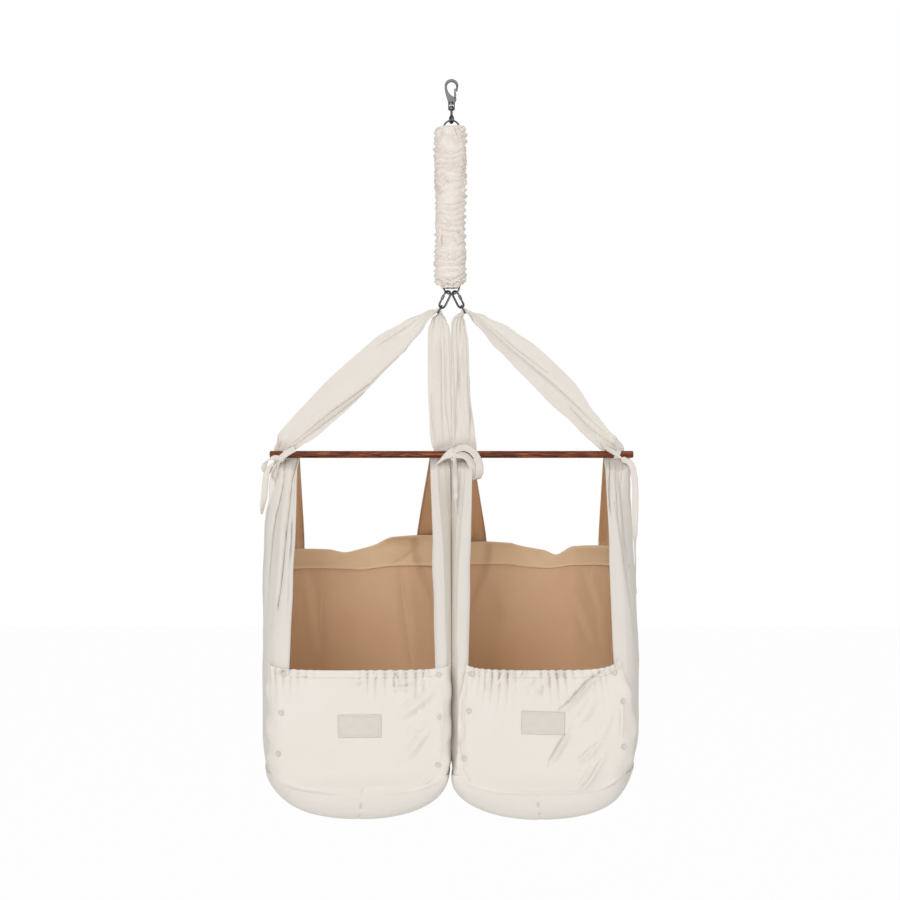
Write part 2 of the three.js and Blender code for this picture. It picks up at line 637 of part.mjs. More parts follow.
function bagBase() {
  const surface = (u, v) => {
    const [y, end] = tubRun(v);
    const [outer, inner] = planAt(y);
    const across = -power(Math.cos(Math.PI * u), 2 / bag.sideRound);
    const x = mix(outer, inner, (across + 1) / 2);
    return new THREE.Vector3(x, y, bag.rimZ - bag.tubGap - tubDepth(across, end));
  };
  return cloth({ surface, thick: bag.cloth, across: 10, along: 10 });
}

function backTop(k) {
  return bag.backRimZ - bag.backDip * (1 - (2 * k - 1) ** 2);
}

function backPanel() {
  const surface = (u, v) => {
    const z = mix(bag.rimZ + seam / 2, backTop(u), v);
    const outer = sideEdges(outerSide, z).xBack + bag.cornerGap;
    const inner = sideEdges(innerSide, z).xBack - bag.cornerGap;
    return new THREE.Vector3(mix(outer, inner, u), bag.halfLength + 6 * Math.sin(Math.PI * u), z);
  };
  return cloth({ surface, thick: bag.cloth, across: 8, along: 4 });
}

function backBand() {
  const [height, inset, margin] = [44, bag.cloth + 0.6, 12];
  const surface = (u, v) => {
    const z = backTop(u) - mix(height, 1, v);
    const [outer, inner] = [sideEdges(outerSide, z).xBack + margin, sideEdges(innerSide, z).xBack - margin];
    const y = bag.halfLength - inset + 6 * Math.sin(Math.PI * u);
    return new THREE.Vector3(mix(outer, inner, u), y, z);
  };
  return cloth({ surface, thick: 2, across: 8, along: 1 });
}

function mattressPad() {
  const { halfWidth, endHalfWidth, halfLength, middleY, topZ, crown, lift } = mattress;
  const place = (u, v) => {
    const t = 2 * v - 1;
    const y = middleY + halfLength * t;
    const [outer, inner] = planAt(y);
    const half = mix(endHalfWidth, halfWidth, 1 - t ** 4);
    const across = ((2 * u - 1) * half) / ((inner - outer) / 2);
    return { x: (outer + inner) / 2 + (2 * u - 1) * half, y, across, t };
  };
  const lower = (u, v) => {
    const { x, y, across } = place(u, v);
    const past = Math.max(0, Math.abs(y) - (bag.halfLength - bag.endRound)) / bag.endRound;
    return [x, y, bag.rimZ - tubDepth(across, Math.sqrt(1 - past ** 2)) + lift];
  };
  const upper = (u, v) => {
    const { x, y, t } = place(u, v);
    const middle = Math.sin(Math.PI * u) ** 0.5 * (1 - t ** 6);
    return [x, y, topZ + crown * middle];
  };
  return gridSolid(upper, lower, 6, 6);
}

// The front flap's plan: flat across the opening, wrapping the bag's two front corners
function frontY(x) {
  const past = Math.max(
    (outerSide.front - x) / (outerSide.front - outerSide.wall), 0,
    (x - innerSide.front) / (innerSide.wall - innerSide.front),
  );
  const square = x < outerSide.front ? outerSide.square : innerSide.square;
  return -bag.halfLength * Math.max(0, 1 - past ** square) ** (1 / square);
}

// A point that far outside the bag's front, square to its plan
function outsideFront(x, away) {
  const slope = frontY(x + 0.5) - frontY(x - 0.5);
  const length = Math.hypot(slope, 1);
  return [x + (away * slope) / length, frontY(x) - away / length];
}

const flapMiddle = (flap.outer + flap.inner) / 2;
const flapHalf = (flap.inner - flap.outer) / 2;

function flapPanel() {
  const surface = (u, v) => {
    const x = mix(flap.outer, flap.inner, mix(u, (1 - Math.cos(Math.PI * u)) / 2, 0.75));
    const out = Math.abs(x - flapMiddle) / flapHalf;
    const rounding = Math.max(0, 1 - out ** flap.cornerRound) ** (1 / flap.cornerRound);
    const bottom = mix(flap.seamZ + flap.cornerRise, flap.seamZ + 1.5, rounding);
    const belly = flap.belly * Math.sin(Math.PI * v) * Math.sin(Math.PI * u);
    const away = flap.off + belly - flap.tuck * rounding * smooth((v - 0.8) / 0.2);
    return new THREE.Vector3(...outsideFront(x, away), mix(flap.top, bottom, v));
  };
  const folds = (u, v) => {
    const level = (1 - smooth(v / 0.5)) * Math.min(1, 8 * Math.min(u, 1 - u));
    return -flap.gatherDepth * level * (1 + Math.sin(2 * Math.PI * flap.gathers * u));
  };
  return cloth({ surface, folds, thick: flap.cloth, across: 20, along: 5 });
}

function flapElastic() {
  const [margin, height, thick] = [10, 11, 1.6];
  const [from, to] = [outerSide.front + margin, innerSide.front - margin];
  const surface = (u, v) => new THREE.Vector3(
    mix(from, to, u), -bag.halfLength - flap.off + flap.cloth / 2 + seam + thick, flap.top - 4 - height * v,
  );
  return cloth({ surface, thick, across: 4, along: 1 });
}

// How far forward the flap's cloth reaches at a place on its front
function flapFront(panel, x, z) {
  const ray = new THREE.Raycaster(new THREE.Vector3(x, -2 * bag.halfLength, z), new THREE.Vector3(0, 1, 0));
  return ray.intersectObject(panel)[0].point;
}

function labelPatch(panel, x, z) {
  const { width, height, thick, gap } = label;
  const face = (away) => (u, v) => {
    const seat = flapFront(panel, x + (u - 0.5) * width, z + (v - 0.5) * height);
    return [seat.x, seat.y - away, seat.z];
  };
  return gridSolid(face(gap), face(gap + thick), 6, 3);
}

// A snap's cap on its post, square to the cloth it is pressed through
function snapCap(panel, x, z) {
  const { radius, height, post, lift, gap } = cap;
  const around = [[-1, 0], [0, 1], [1, 0], [0, -1]].map(
    ([i, k]) => flapFront(panel, x + i * radius, z + k * radius),
  );
  const acrossWay = around[2].clone().sub(around[0]);
  const upWay = around[1].clone().sub(around[3]);
  const outward = acrossWay.cross(upWay).normalize();
  const middle = flapFront(panel, x, z);
  const proud = Math.max(0, ...around.map((point) => point.sub(middle).dot(outward)));
  const profile = [
    [0, 0], [post, 0], [post, lift], [radius, lift], [radius, lift + height * 0.6],
    [radius * 0.7, lift + height], [0, lift + height],
  ];
  const turn = new THREE.Quaternion().setFromUnitVectors(new THREE.Vector3(0, 0, 1), outward);
  middle.addScaledVector(outward, gap + proud / 2);
  return lathe(profile, 9).applyQuaternion(turn).translate(middle.x, middle.y, middle.z);
}

function bagParts(side) {
  const group = new THREE.Group();
  const add = (name, geometry, material) => group.add(piece(name, mirrored(geometry, side), material));
  add(`bag_${side}_outer_side`, sideWall(outerSide), cotton);
  add(`bag_${side}_inner_side`, sideWall(innerSide), cotton);
  add(`bag_${side}_base`, bagBase(), cotton);
  add(`bag_${side}_back_panel`, backPanel(), innerCotton);
  add(`bag_${side}_back_band`, backBand(), innerCotton);
  add(`bag_${side}_mattress`, mattressPad(), foam);
  const panel = new THREE.Mesh(flapPanel(), new THREE.MeshBasicMaterial({ side: THREE.DoubleSide }));
  add(`flap_${side}_panel`, panel.geometry, cotton);
  add(`flap_${side}_elastic`, flapElastic(), cotton);
  const [labelX, labelZ] = label[side];
  add(`flap_${side}_label`, labelPatch(panel, -Math.abs(labelX), labelZ), patch);
  capPlaces[side].forEach(([x, z], i) => add(`flap_${side}_snap_${i + 1}`, snapCap(panel, x, z), capPlastic));
  return group;
}

const cradle = new THREE.Group();
cradle.add(hookParts(), swivelEye(), springParts(), clipParts('left'), clipParts('right'));
for (const side of ['left', 'right']) {
  cradle.add(piece(`hanger_strap_${side}`, mirrored(hangerStrap(side), side), cotton));
}
cradle.add(piece('spreader_bar', spreaderBar(), wood), tieParts(), bagParts('left'), bagParts('right'));

export default cradle;
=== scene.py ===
# Twin hanging baby cradle: cloth, ribbons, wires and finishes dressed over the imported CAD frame
import math

import bpy
import numpy as np
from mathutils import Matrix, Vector


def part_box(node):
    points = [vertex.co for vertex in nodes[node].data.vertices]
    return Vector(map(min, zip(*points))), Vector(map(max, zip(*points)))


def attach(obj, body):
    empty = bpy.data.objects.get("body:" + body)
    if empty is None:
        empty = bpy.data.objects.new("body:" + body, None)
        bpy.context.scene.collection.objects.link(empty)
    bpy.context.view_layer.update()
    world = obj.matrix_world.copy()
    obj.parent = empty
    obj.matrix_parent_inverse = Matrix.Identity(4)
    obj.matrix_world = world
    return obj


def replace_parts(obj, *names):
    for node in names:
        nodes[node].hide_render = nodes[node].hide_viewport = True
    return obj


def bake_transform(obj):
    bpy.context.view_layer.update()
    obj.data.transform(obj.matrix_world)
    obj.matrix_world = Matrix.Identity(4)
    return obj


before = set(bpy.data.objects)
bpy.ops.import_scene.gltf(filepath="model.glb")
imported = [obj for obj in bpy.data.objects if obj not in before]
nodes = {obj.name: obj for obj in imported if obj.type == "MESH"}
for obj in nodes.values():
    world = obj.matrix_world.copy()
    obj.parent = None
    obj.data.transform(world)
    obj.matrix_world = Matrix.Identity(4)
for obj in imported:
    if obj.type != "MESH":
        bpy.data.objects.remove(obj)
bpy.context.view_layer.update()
mm = 0.001
print("frame loaded:", len(nodes), "CAD nodes")


def mix(a, b, t):
    return a + (b - a) * t


def clamp(t):
    return np.clip(t, 0.0, 1.0)


def smooth(t):
    t = clamp(t)
    return t * t * (3 - 2 * t)


def inside(t, reach, start=0):  # 0 at both ends of 0 to 1, and 1 between them
    return smooth((np.minimum(t, 1 - t) - start) / reach)


def oval(t, power):  # a rounded arch over -1 to 1; a higher power is squarer
    return np.maximum(0, 1 - np.abs(t) ** power) ** (1 / power)


def signedPower(value, exponent):
    return np.sign(value) * np.abs(value) ** exponent


def points3(x, y, z):
    return np.stack(np.broadcast_arrays(x, y, z), -1).astype(float)


def softNoise(x, y, seed):  # smooth noise from -1 to 1, one cell per unit
    grid = np.random.default_rng(seed).uniform(-1, 1, (64, 64))
    x, y = np.broadcast_arrays(np.asarray(x, float), np.asarray(y, float))
    i, j = np.floor(x).astype(int), np.floor(y).astype(int)
    s, t = smooth(x - i), smooth(y - j)
    top = mix(grid[i % 64, j % 64], grid[(i + 1) % 64, j % 64], s)
    low = mix(grid[i % 64, (j + 1) % 64], grid[(i + 1) % 64, (j + 1) % 64], s)
    return mix(top, low, t)


def crease(x, y, seed):  # narrow soft ridges, 0 to 1
    return (1 - np.abs(softNoise(x, y, seed))) ** 3


def randomFolds(seed, count, spread=0.05):  # long folds at uneven distances, fading at uneven heights
    dice = np.random.default_rng(seed)
    folds = []
    for i in range(count):
        top = (i + dice.uniform(0.15, 0.85)) / count
        foot, end = top + dice.uniform(-spread, spread), dice.uniform(0.4, 1.1)
        depth = dice.uniform(0.35, 1.0) * dice.choice([1, 1, -1])
        folds.append((top, foot, end, depth, dice.uniform(0.02, 0.05), dice.uniform(1.5, 3.5)))
    return folds


def foldLines(across, down, folds):
    total = np.zeros(np.broadcast(across, down).shape)
    for top, foot, end, depth, wide, lean in folds:
        t = clamp(down / end)
        far = (across - mix(top, foot, t) - 0.012 * np.sin(5 * t + 40 * top)) / (wide * mix(0.7, 1.3, t))
        total = total + depth * (1 - t**2) * np.exp(-np.abs(far) * np.where(far > 0, lean, 1))
    return total


def drawnFolds(x, z, folds):  # each fold: the points of its line, depth, width, and its steepness (0 for a soft one)
    total = np.zeros(np.shape(x))
    for points, depth, wide, lean in folds:
        line = np.asarray(points, float)
        steps = np.diff(line, axis=0)
        runs = np.hypot(steps[:, 0], steps[:, 1])
        best, turned, along = np.full(np.shape(x), 1e9), np.zeros(np.shape(x)), np.zeros(np.shape(x))
        for i, (dx, dz) in enumerate(steps):
            t = clamp(((x - line[i, 0]) * dx + (z - line[i, 1]) * dz) / runs[i] ** 2)
            offX, offZ = x - line[i, 0] - t * dx, z - line[i, 1] - t * dz
            far = np.hypot(offX, offZ)
            near = far < best
            best, turned = np.where(near, far, best), np.where(near, offX * dz - offZ * dx, turned)
            along = np.where(near, (runs[:i].sum() + t * runs[i]) / runs.sum(), along)
        taper = np.sin(math.pi * mix(0.05, 0.95, along)) ** 0.6
        if lean:
            shape = np.exp(-best * np.where(turned > 0, lean, 1) / wide)
        else:
            shape = np.exp(-((best / wide) ** 2))
        total = total + depth * taper * shape
    return total


def bump(t, middle, width):  # a soft hill, 1 at its middle
    return np.exp(-(((t - middle) / width) ** 2))


class Wire:  # a socket that maths can be written with
    def __init__(self, paint, socket):
        self.paint, self.socket = paint, socket

    def maths(self, operation, first, second):
        return self.paint.node("ShaderNodeMath", {"operation": operation}, {0: first, 1: second})

    def __add__(self, other):
        return self.maths("ADD", self, other)

    __radd__ = __add__

    def __mul__(self, other):
        return self.maths("MULTIPLY", self, other)

    __rmul__ = __mul__

    def __sub__(self, other):
        return self.maths("SUBTRACT", self, other)

    def __rsub__(self, other):
        return self.maths("SUBTRACT", other, self)

    def __pow__(self, other):
        return self.maths("POWER", self, other)


def fromScreen(color):  # a colour as it looks on screen, in the shader's linear values
    return tuple(((c / 255 + 0.055) / 1.055) ** 2.4 for c in color)


class Sketch:  # a node tree, and the one method that adds a node to it
    def __init__(self, tree):
        self.tree = tree

    def node(self, kind, settings=None, sockets=None, out=0):
        made = self.tree.nodes.new(kind)
        for key, value in (settings or {}).items():
            if key == "stops":
                ramp = made.color_ramp.elements
                for i, (place, color) in enumerate(value):
                    stop = ramp[i] if i < 2 else ramp.new(place)
                    stop.position, stop.color = place, (*fromScreen(color), 1)
            else:
                setattr(made, key, value)
        for key, value in (sockets or {}).items():
            self.join(made.inputs[key], value)
        return Wire(self, made.outputs[out])

    def join(self, socket, value):
        if isinstance(value, Wire):
            self.tree.links.new(value.socket, socket)
        elif hasattr(value, "__len__") and len(value) == 3 and socket.type == "RGBA":
            socket.default_value = (*fromScreen(value), 1)
        else:
            socket.default_value = value


class Paint(Sketch):  # one material and its nodes
    def __init__(self, name, roughness=0.8, metallic=0.0, **constants):
        self.material = bpy.data.materials.new(name)
        self.material.use_nodes = True
        super().__init__(self.material.node_tree)
        self.shader = self.tree.nodes["Principled BSDF"]
        self.shader.inputs["Roughness"].default_value = roughness
        self.shader.inputs["Metallic"].default_value = metallic
        for socket, value in constants.items():
            self.shader.inputs[socket].default_value = value

    def place(self, kind):
        return self.node("ShaderNodeTexCoord", {}, {}, kind)

    def folds(self):  # how deep in a fold the cloth lies, 0 to 1: the mask for the painted shade in folds
        return self.node("ShaderNodeAttribute", {"attribute_name": "fold"}, {}, "Fac")

    def noise(self, where, scale, detail=2.0, distortion=0.0):
        sockets = {"Vector": where, "Scale": scale, "Detail": detail, "Distortion": distortion}
        return self.node("ShaderNodeTexNoise", {}, sockets, "Fac")

    def waves(self, where, scale, direction, distortion=0.0):
        settings = {"wave_type": "BANDS", "bands_direction": direction}
        sockets = {"Vector": where, "Scale": scale, "Distortion": distortion}
        return self.node("ShaderNodeTexWave", settings, sockets, "Fac")

    def colors(self, factor, first, second):
        made = self.node("ShaderNodeMix", {"data_type": "RGBA"}, {}, 2)
        node = made.socket.node
        self.join(node.inputs[0], factor)
        self.join(node.inputs[6], first)
        self.join(node.inputs[7], second)
        return made

    def finish(self, color=None, roughness=None, height=None, distance=0.001, strength=1.0):
        if color is not None:
            self.join(self.shader.inputs["Base Color"], color)
        if roughness is not None:
            self.join(self.shader.inputs["Roughness"], roughness)
        if height is not None:
            sockets = {"Strength": strength, "Distance": distance, "Height": height}
            self.join(self.shader.inputs["Normal"], self.node("ShaderNodeBump", {}, sockets, "Normal"))
        return self.material


clothLook = {
    # the tan and hem colours paint the shade inside the bags and the warm light coming through the cloth
    "cream": (241, 235, 227), "creamDeep": (235, 228, 218), "tan": (245, 214, 180), "tanDeep": (237, 205, 168),
    "hem": (250, 226, 192), "hemDeep": (243, 217, 181),
    "yarn": 340, "wrinkle": 20, "wrinkleDepth": 0.0013, "yarnDepth": 0.00006,
    "foldFrom": 0.1, "foldReach": 1.1, "foldShade": 0.8, "paintedShade": (0.62, 0.55, 0.49),  # how the painted shade darkens the hollows of folds: where it starts, its reach, its strength and its colour
}


def cottonFinish(name, light, deep, wrinkleDepth, foldShade=1.0):
    paint = Paint(name, roughness=0.9, **{"Sheen Weight": 0.1})
    where = paint.place("UV")
    blotch = paint.noise(where, 9, 2)
    warp = paint.waves(where, clothLook["yarn"], "X")
    weft = paint.waves(where, clothLook["yarn"], "Y")
    slub = paint.noise(where, 240, 1)
    wrinkle = paint.noise(where, clothLook["wrinkle"], 2, 0.5)
    even = paint.colors(slub * 0.2, paint.colors(blotch, deep, light), [c * 0.965 for c in light])
    # painted shade: the cloth darkens towards a brownish shade colour in the hollows of its folds
    paintedShade = [c * share for c, share in zip(deep, clothLook["paintedShade"])]
    color = paint.colors(paint.folds() * (clothLook["foldShade"] * foldShade), even, paintedShade)
    yarnShare = clothLook["yarnDepth"] / wrinkleDepth
    height = wrinkle + (warp + weft + slub * 2) * (0.25 * yarnShare)
    return paint.finish(color, None, height, wrinkleDepth, 0.5)


def makeFinishes():
    look = clothLook
    made = {
        "cotton": cottonFinish("undyedCotton", look["cream"], look["creamDeep"], look["wrinkleDepth"]),
        # the cloth seen from inside the bags: painted shade and painted warm light through the cloth, in tan
        "inner": cottonFinish("cottonInShade", look["tan"], look["tanDeep"], look["wrinkleDepth"], 0.3),
        "ribbon": cottonFinish("cottonTape", look["cream"], look["creamDeep"], 0.0006),
    }
    paint = Paint("oiledHardwood", roughness=0.42, **{"Specular IOR Level": 0.25})
    where = paint.place("Object")
    stretched = paint.node("ShaderNodeMapping", {}, {"Vector": where, "Scale": (5, 60, 60)})
    grain = paint.noise(stretched, 4.5, 5, 0.7)
    pores = paint.noise(paint.node("ShaderNodeMapping", {}, {"Vector": where, "Scale": (40, 900, 900)}), 1, 2)
    stops = [(0.34, (58, 24, 12)), (0.5, (122, 60, 30)), (0.66, (190, 104, 58))]
    tone = paint.node("ShaderNodeValToRGB", {"stops": stops}, {"Fac": grain}, "Color")
    color = paint.colors(pores * 0.5, tone, (70, 38, 26))
    made["wood"] = paint.finish(color, 0.36 + grain * 0.18, grain * 0.4 + pores * 0.6, 0.0004, 0.7)
    for key, name, tint, rough in [
        ("steel", "satinSteel", (98, 99, 101), 0.3), ("wireSteel", "drawnWire", (104, 105, 107), 0.34),
    ]:
        paint = Paint(name, roughness=rough, metallic=1.0)
        where = paint.place("Object")
        scuff = paint.noise(where, 300, 3)
        cloud = paint.noise(where, 45, 2)
        color = paint.colors(cloud, [c * 0.86 for c in tint], [c * 1.12 for c in tint])
        made[key] = paint.finish(color, rough - 0.08 + scuff * 0.18, scuff, 0.00012, 0.5)
    paint = Paint("bareClothPatch", roughness=0.8)
    where = paint.place("UV")
    warp, weft = paint.waves(where, 700, "X"), paint.waves(where, 700, "Y")
    cloud = paint.noise(where, 60, 3)
    color = paint.colors(cloud, (226, 218, 206), (236, 229, 219))
    made["patch"] = paint.finish(color, None, warp + weft, 0.0002, 0.5)
    paint = Paint("snapCapPlastic", roughness=0.42)
    where = paint.place("Object")
    cloud = paint.noise(where, 220, 2)
    color = paint.colors(cloud, (214, 205, 192), (226, 219, 208))
    made["cap"] = paint.finish(color, 0.34 + cloud * 0.16, cloud, 0.0001, 0.4)
    paint = Paint("quiltedPad", roughness=0.9, **{"Sheen Weight": 0.15})
    where = paint.place("Object")
    stitch = paint.waves(where, 6.2, "DIAGONAL")
    cloud = paint.noise(where, 30, 3)
    color = paint.colors(cloud, (232, 226, 214), (240, 235, 226))
    made["pad"] = paint.finish(color, None, stitch ** 0.5 * 2 + paint.noise(where, 420, 3) * 0.3, 0.0016, 0.6)
    return made


finish = makeFinishes()
print("finishes made")


def meshObject(name, vertices, faces, materials, slots=None, uvs=None):
    mesh = bpy.data.meshes.new(name)
    mesh.from_pydata([tuple(v) for v in np.asarray(vertices) * mm], [], faces)
    for material in materials:
        mesh.materials.append(material)
    if slots is not None:
        mesh.polygons.foreach_set("material_index", slots)
    if uvs is not None:
        layer = mesh.uv_layers.new(name="cut")
        layer.data.foreach_set("uv", np.asarray(uvs, np.float32).ravel())
    mesh.polygons.foreach_set("use_smooth", [True] * len(mesh.polygons))
    mesh.update()
    made = bpy.data.objects.new(name, mesh)
    bpy.context.scene.collection.objects.link(made)
    return made


def gridNormals(grid, wrapped):
    if wrapped:
        across = np.roll(grid, -1, 1) - np.roll(grid, 1, 1)
    else:
        across = np.gradient(grid, axis=1)
    normal = np.cross(across, np.gradient(grid, axis=0))
    return normal / np.maximum(np.linalg.norm(normal, axis=-1, keepdims=True), 1e-9)


def blurred(grid, times, wrapped):
    for _ in range(times):
        sidesOf = (grid[:, -1:], grid[:, :1]) if wrapped else (grid[:, :1], grid[:, -1:])
        wide = np.concatenate([sidesOf[0], grid, sidesOf[1]], 1)
        grid = (wide[:, :-2] + 2 * grid + wide[:, 2:]) / 4
        tall = np.concatenate([grid[:1], grid, grid[-1:]], 0)
        grid = (tall[:-2] + 2 * grid + tall[2:]) / 4
    return grid


def shellFaces(rows, columns, wrapped=False, facing=1):  # corners (layer, row, column) of a two-layered sheet's quads
    quads, slots = [], []
    spans = range(columns if wrapped else columns - 1)

    def quad(slot, forward, *corners):
        quads.append(corners if forward else corners[::-1])
        slots.append(slot)

    for r in range(rows - 1):
        for c in spans:
            quad(0, facing > 0, (0, r, c), (0, r, c + 1), (0, r + 1, c + 1), (0, r + 1, c))
            quad(1, facing > 0, (1, r, c), (1, r + 1, c), (1, r + 1, c + 1), (1, r, c + 1))
    for c in spans:
        for r, turn in ((0, 1), (rows - 1, -1)):
            quad(0, facing * turn > 0, (0, r, c), (1, r, c), (1, r, c + 1), (0, r, c + 1))
    for r in range(0 if wrapped else rows - 1):
        for c, turn in ((0, -1), (columns - 1, 1)):
            quad(0, facing * turn > 0, (0, r, c), (1, r, c), (1, r + 1, c), (0, r + 1, c))
    faces = [[(layer * rows + r) * columns + c % columns for layer, r, c in corners] for corners in quads]
    return faces, slots, [corner[1:] for corners in quads for corner in corners]


def ringFaces(rings, around, closed=False):  # a tube's quads, and its ends
    faces = []
    for i in range(rings if closed else rings - 1):
        a, b = i * around, (i + 1) % rings * around
        faces += [[a + k, a + (k + 1) % around, b + (k + 1) % around, b + k] for k in range(around)]
    if not closed:
        faces += [list(range(around))[::-1], [(rings - 1) * around + k for k in range(around)]]
    return faces


def clothObject(
    name, place, across, along, thick=1.8, push=None, wrapped=False, facing=1,
    outer="cotton", inner="cotton", settle=None,
):
    u, v = np.meshgrid(np.linspace(0, 1, across + 1), np.linspace(0, 1, along + 1))
    if wrapped:
        u, v = u[:, :-1], v[:, :-1]
    middle = place(u, v)
    if push is not None:
        middle = middle + gridNormals(middle, wrapped) * push(u, v)[..., None]
    if settle is not None:
        middle = settle(middle)
    normal = gridNormals(middle, wrapped) * facing
    half = (thick(u, v) if callable(thick) else thick) / 2 * np.ones(u.shape)
    layers = [middle + normal * half[..., None], middle - normal * half[..., None]]
    hollow = ((blurred(middle, 4, wrapped) - middle) * normal).sum(-1)
    if not wrapped:
        hollow = hollow * smooth(np.minimum(u, 1 - u) * across / 4) * smooth(np.minimum(v, 1 - v) * along / 4)
    closed = np.concatenate([middle, middle[:, :1]], 1) if wrapped else middle
    stepU = np.linalg.norm(np.diff(closed, axis=1), axis=-1)
    stepV = np.linalg.norm(np.diff(closed, axis=0), axis=-1)
    runU = np.concatenate([np.zeros((len(u), 1)), np.cumsum(stepU, 1)], 1) * mm
    runV = np.concatenate([np.zeros((1, closed.shape[1])), np.cumsum(stepV, 0)], 0) * mm
    runU -= runU[:, -1:] / 2
    faces, slots, corners = shellFaces(*u.shape, wrapped, facing)
    uvs = [(runU[corner], runV[corner]) for corner in corners]
    vertices = np.concatenate([layer.reshape(-1, 3) for layer in layers])
    made = meshObject(name, vertices, faces, [finish[outer], finish[inner]], slots, uvs)
    # painted shade: each point's depth in a fold's hollow becomes the fold attribute that the finishes darken by
    paintedShade = np.concatenate([hollow.ravel(), -hollow.ravel()]) - clothLook["foldFrom"]
    paintedShade = clamp(paintedShade / clothLook["foldReach"]).astype(np.float32)
    made.data.attributes.new("fold", "FLOAT", "POINT").data.foreach_set("value", paintedShade)
    diagonals = closed[1:, 1:] - closed[:-1, :-1], closed[1:, :-1] - closed[:-1, 1:]
    area = 0.5 * np.linalg.norm(np.cross(*diagonals), axis=-1).sum()
    made["cut"] = [float(stepU.sum(1).max() * mm), float(stepV.sum(0).max() * mm), float(area * mm * mm)]
    return made


def declareSheet(made, held):
    width, length, area = made["cut"]
    del made["cut"]
    flatArea = min(max(area, 0.31 * width * length), width * length)  # a cut piece fills a third of its box or more


def dress(made, body, node, held=None):  # rides its body and stands for its CAD node
    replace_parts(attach(made, body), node)
    if held:
        declareSheet(made, held)


def stretch(made, node, held=None):  # stands for its CAD node and stays where it is, on no body
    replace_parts(made, node)
    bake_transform(made)
    if held:
        declareSheet(made, held)


def tubeObject(name, path, radius, around, material, closed=False):
    path = np.asarray(path, float)
    count = len(path)
    ahead = np.roll(path, -1, 0) - np.roll(path, 1, 0) if closed else np.gradient(path, axis=0)
    ahead /= np.linalg.norm(ahead, axis=1, keepdims=True)
    side = np.zeros_like(path)
    start = np.cross(ahead[0], [0.3, 0.9, 0.2])
    side[0] = start / np.linalg.norm(start)
    for i in range(1, count):  # carried along the line, so the tube doesn't twist
        flat = side[i - 1] - ahead[i] * np.dot(side[i - 1], ahead[i])
        side[i] = flat / np.linalg.norm(flat)
    up = np.cross(ahead, side)
    turn = np.linspace(0, 2 * math.pi, around, endpoint=False)
    cosine, sine = np.cos(turn)[None, :, None], np.sin(turn)[None, :, None]
    points = path[:, None] + radius * (cosine * side[:, None] + sine * up[:, None])
    return meshObject(name, points.reshape(-1, 3), ringFaces(count, around, closed), [finish[material]])


def throughPoints(points, t):  # a smooth line through points, t from 0 to 1
    points = np.asarray(points, float)
    padded = np.concatenate([2 * points[:1] - points[1:2], points, 2 * points[-1:] - points[-2:-1]])
    where = np.asarray(t, float) * (len(points) - 1)
    i = np.minimum(np.floor(where).astype(int), len(points) - 2)
    s = (where - i)[..., None]
    a, b, c, d = (padded[i + k] for k in range(4))
    return 0.5 * (2 * b + (c - a) * s + (2 * a - 5 * b + 4 * c - d) * s**2 + (3 * b - a - 3 * c + d) * s**3)


# Where pieces sit, in millimetres, as in the CAD
sides = {"left": 1, "right": -1}  # the way from each side's outer edge to the middle
bar = {"radius": 8, "z": -840}
spring = {"wire": 2.1, "radius": 17.9, "top": -86.6, "bottom": -479, "turns": 62, "bottomTurn": 172, "lead": 22.4}
clip = {"tilt": 27, "wire": 2.5, "bend": 8.5, "half": 12, "reach": 8}
ring = {"wire": 2, "bend": 10, "bar": 8.4, "gap": 0.4}
bag = {
    "rimZ": -1500, "depth": 97, "halfLength": 381, "sideRound": 2.2, "endRound": 61, "topZ": -843,
    "bundleFront": 10.4, "bundleBack": 22, "frontRimZ": -1279, "backRimZ": -1050, "drawnFrom": -1430,
    "lean": -9, "leanFrom": 694, "leanOver": 94,  # the right bag's foot: how far sideways, and where from the bar on
    "lap": 46, "lapShare": 0.06,  # how far a side cloth turns behind the back
    "taper": {"left": (5, -1548, 30), "right": (9, -1510, 50)},  # the lower outer corner: how far in, height, reach
    "meetingRoom": 1.05,
}
outerSide = {
    "topEdge": -345, "topWall": -400, "front": -333, "back": -362, "backTop": -362, "wall": -405, "drawn": 6,
    "square": 3, "fold": 6.5, "folds": 13, "crisp": 2.0, "swell": {"left": 12, "right": 4},
    "seed": {"left": 100, "right": 140},
}
innerSide = {
    "topEdge": -48, "topWall": -5, "front": -34, "back": -45, "backTop": -87, "wall": -4, "drawn": -1.5, "square": 8,
    "fold": 4.2, "folds": 9, "swell": {"left": 0, "right": 0}, "middle": 6, "seed": {"left": 120, "right": 160},
}
baseLook = {  # how far it stands outside the sides' lower edges, below the solid and above the rim, and its relief
    "lap": 1.9, "deeper": 3.4, "rise": 2.5, "seam": 1.1, "puckers": 26, "soft": 1.8,
    "seed": {"left": 200, "right": 220},
}


def hangPoint(side):  # where a snap link hangs on the bottom loop's curved wire
    reach = clip["reach"] * sides[side]
    lean = math.radians(spring["bottomTurn"])
    rise = spring["radius"] - math.sqrt(spring["radius"] ** 2 - reach**2)
    return reach * math.cos(lean), reach * math.sin(lean), spring["bottom"] + rise


def leanAt(middle):  # where the two bags meet, sideways: the same all round the bar, so that one can swing alone
    away = np.hypot(middle[..., 1], middle[..., 2] - bar["z"])
    return bag["lean"] * smooth((away - bag["leanFrom"]) / bag["leanOver"])


def toSide(place, side):  # the right bag mirrors the left one; its foot leans to the middle and its corner draws in
    def placed(u, v):
        middle = place(u, v) * np.array([sides[side], 1, 1])
        z = middle[..., 2]
        taper, low, wide = bag["taper"][side]
        outer = smooth((np.abs(middle[..., 0]) - 190) / 190)
        middle[..., 0] += leanAt(middle) * (side == "right") + sides[side] * taper * outer * bump(z, low, wide)
        return middle

    return placed


def ownSide(side):  # the two bags press flat against each other at the middle
    def settle(middle):
        past = (middle[..., 0] - leanAt(middle)) * sides[side] + bag["meetingRoom"]
        middle[..., 0] -= sides[side] * np.maximum(0, past)
        return middle

    return settle


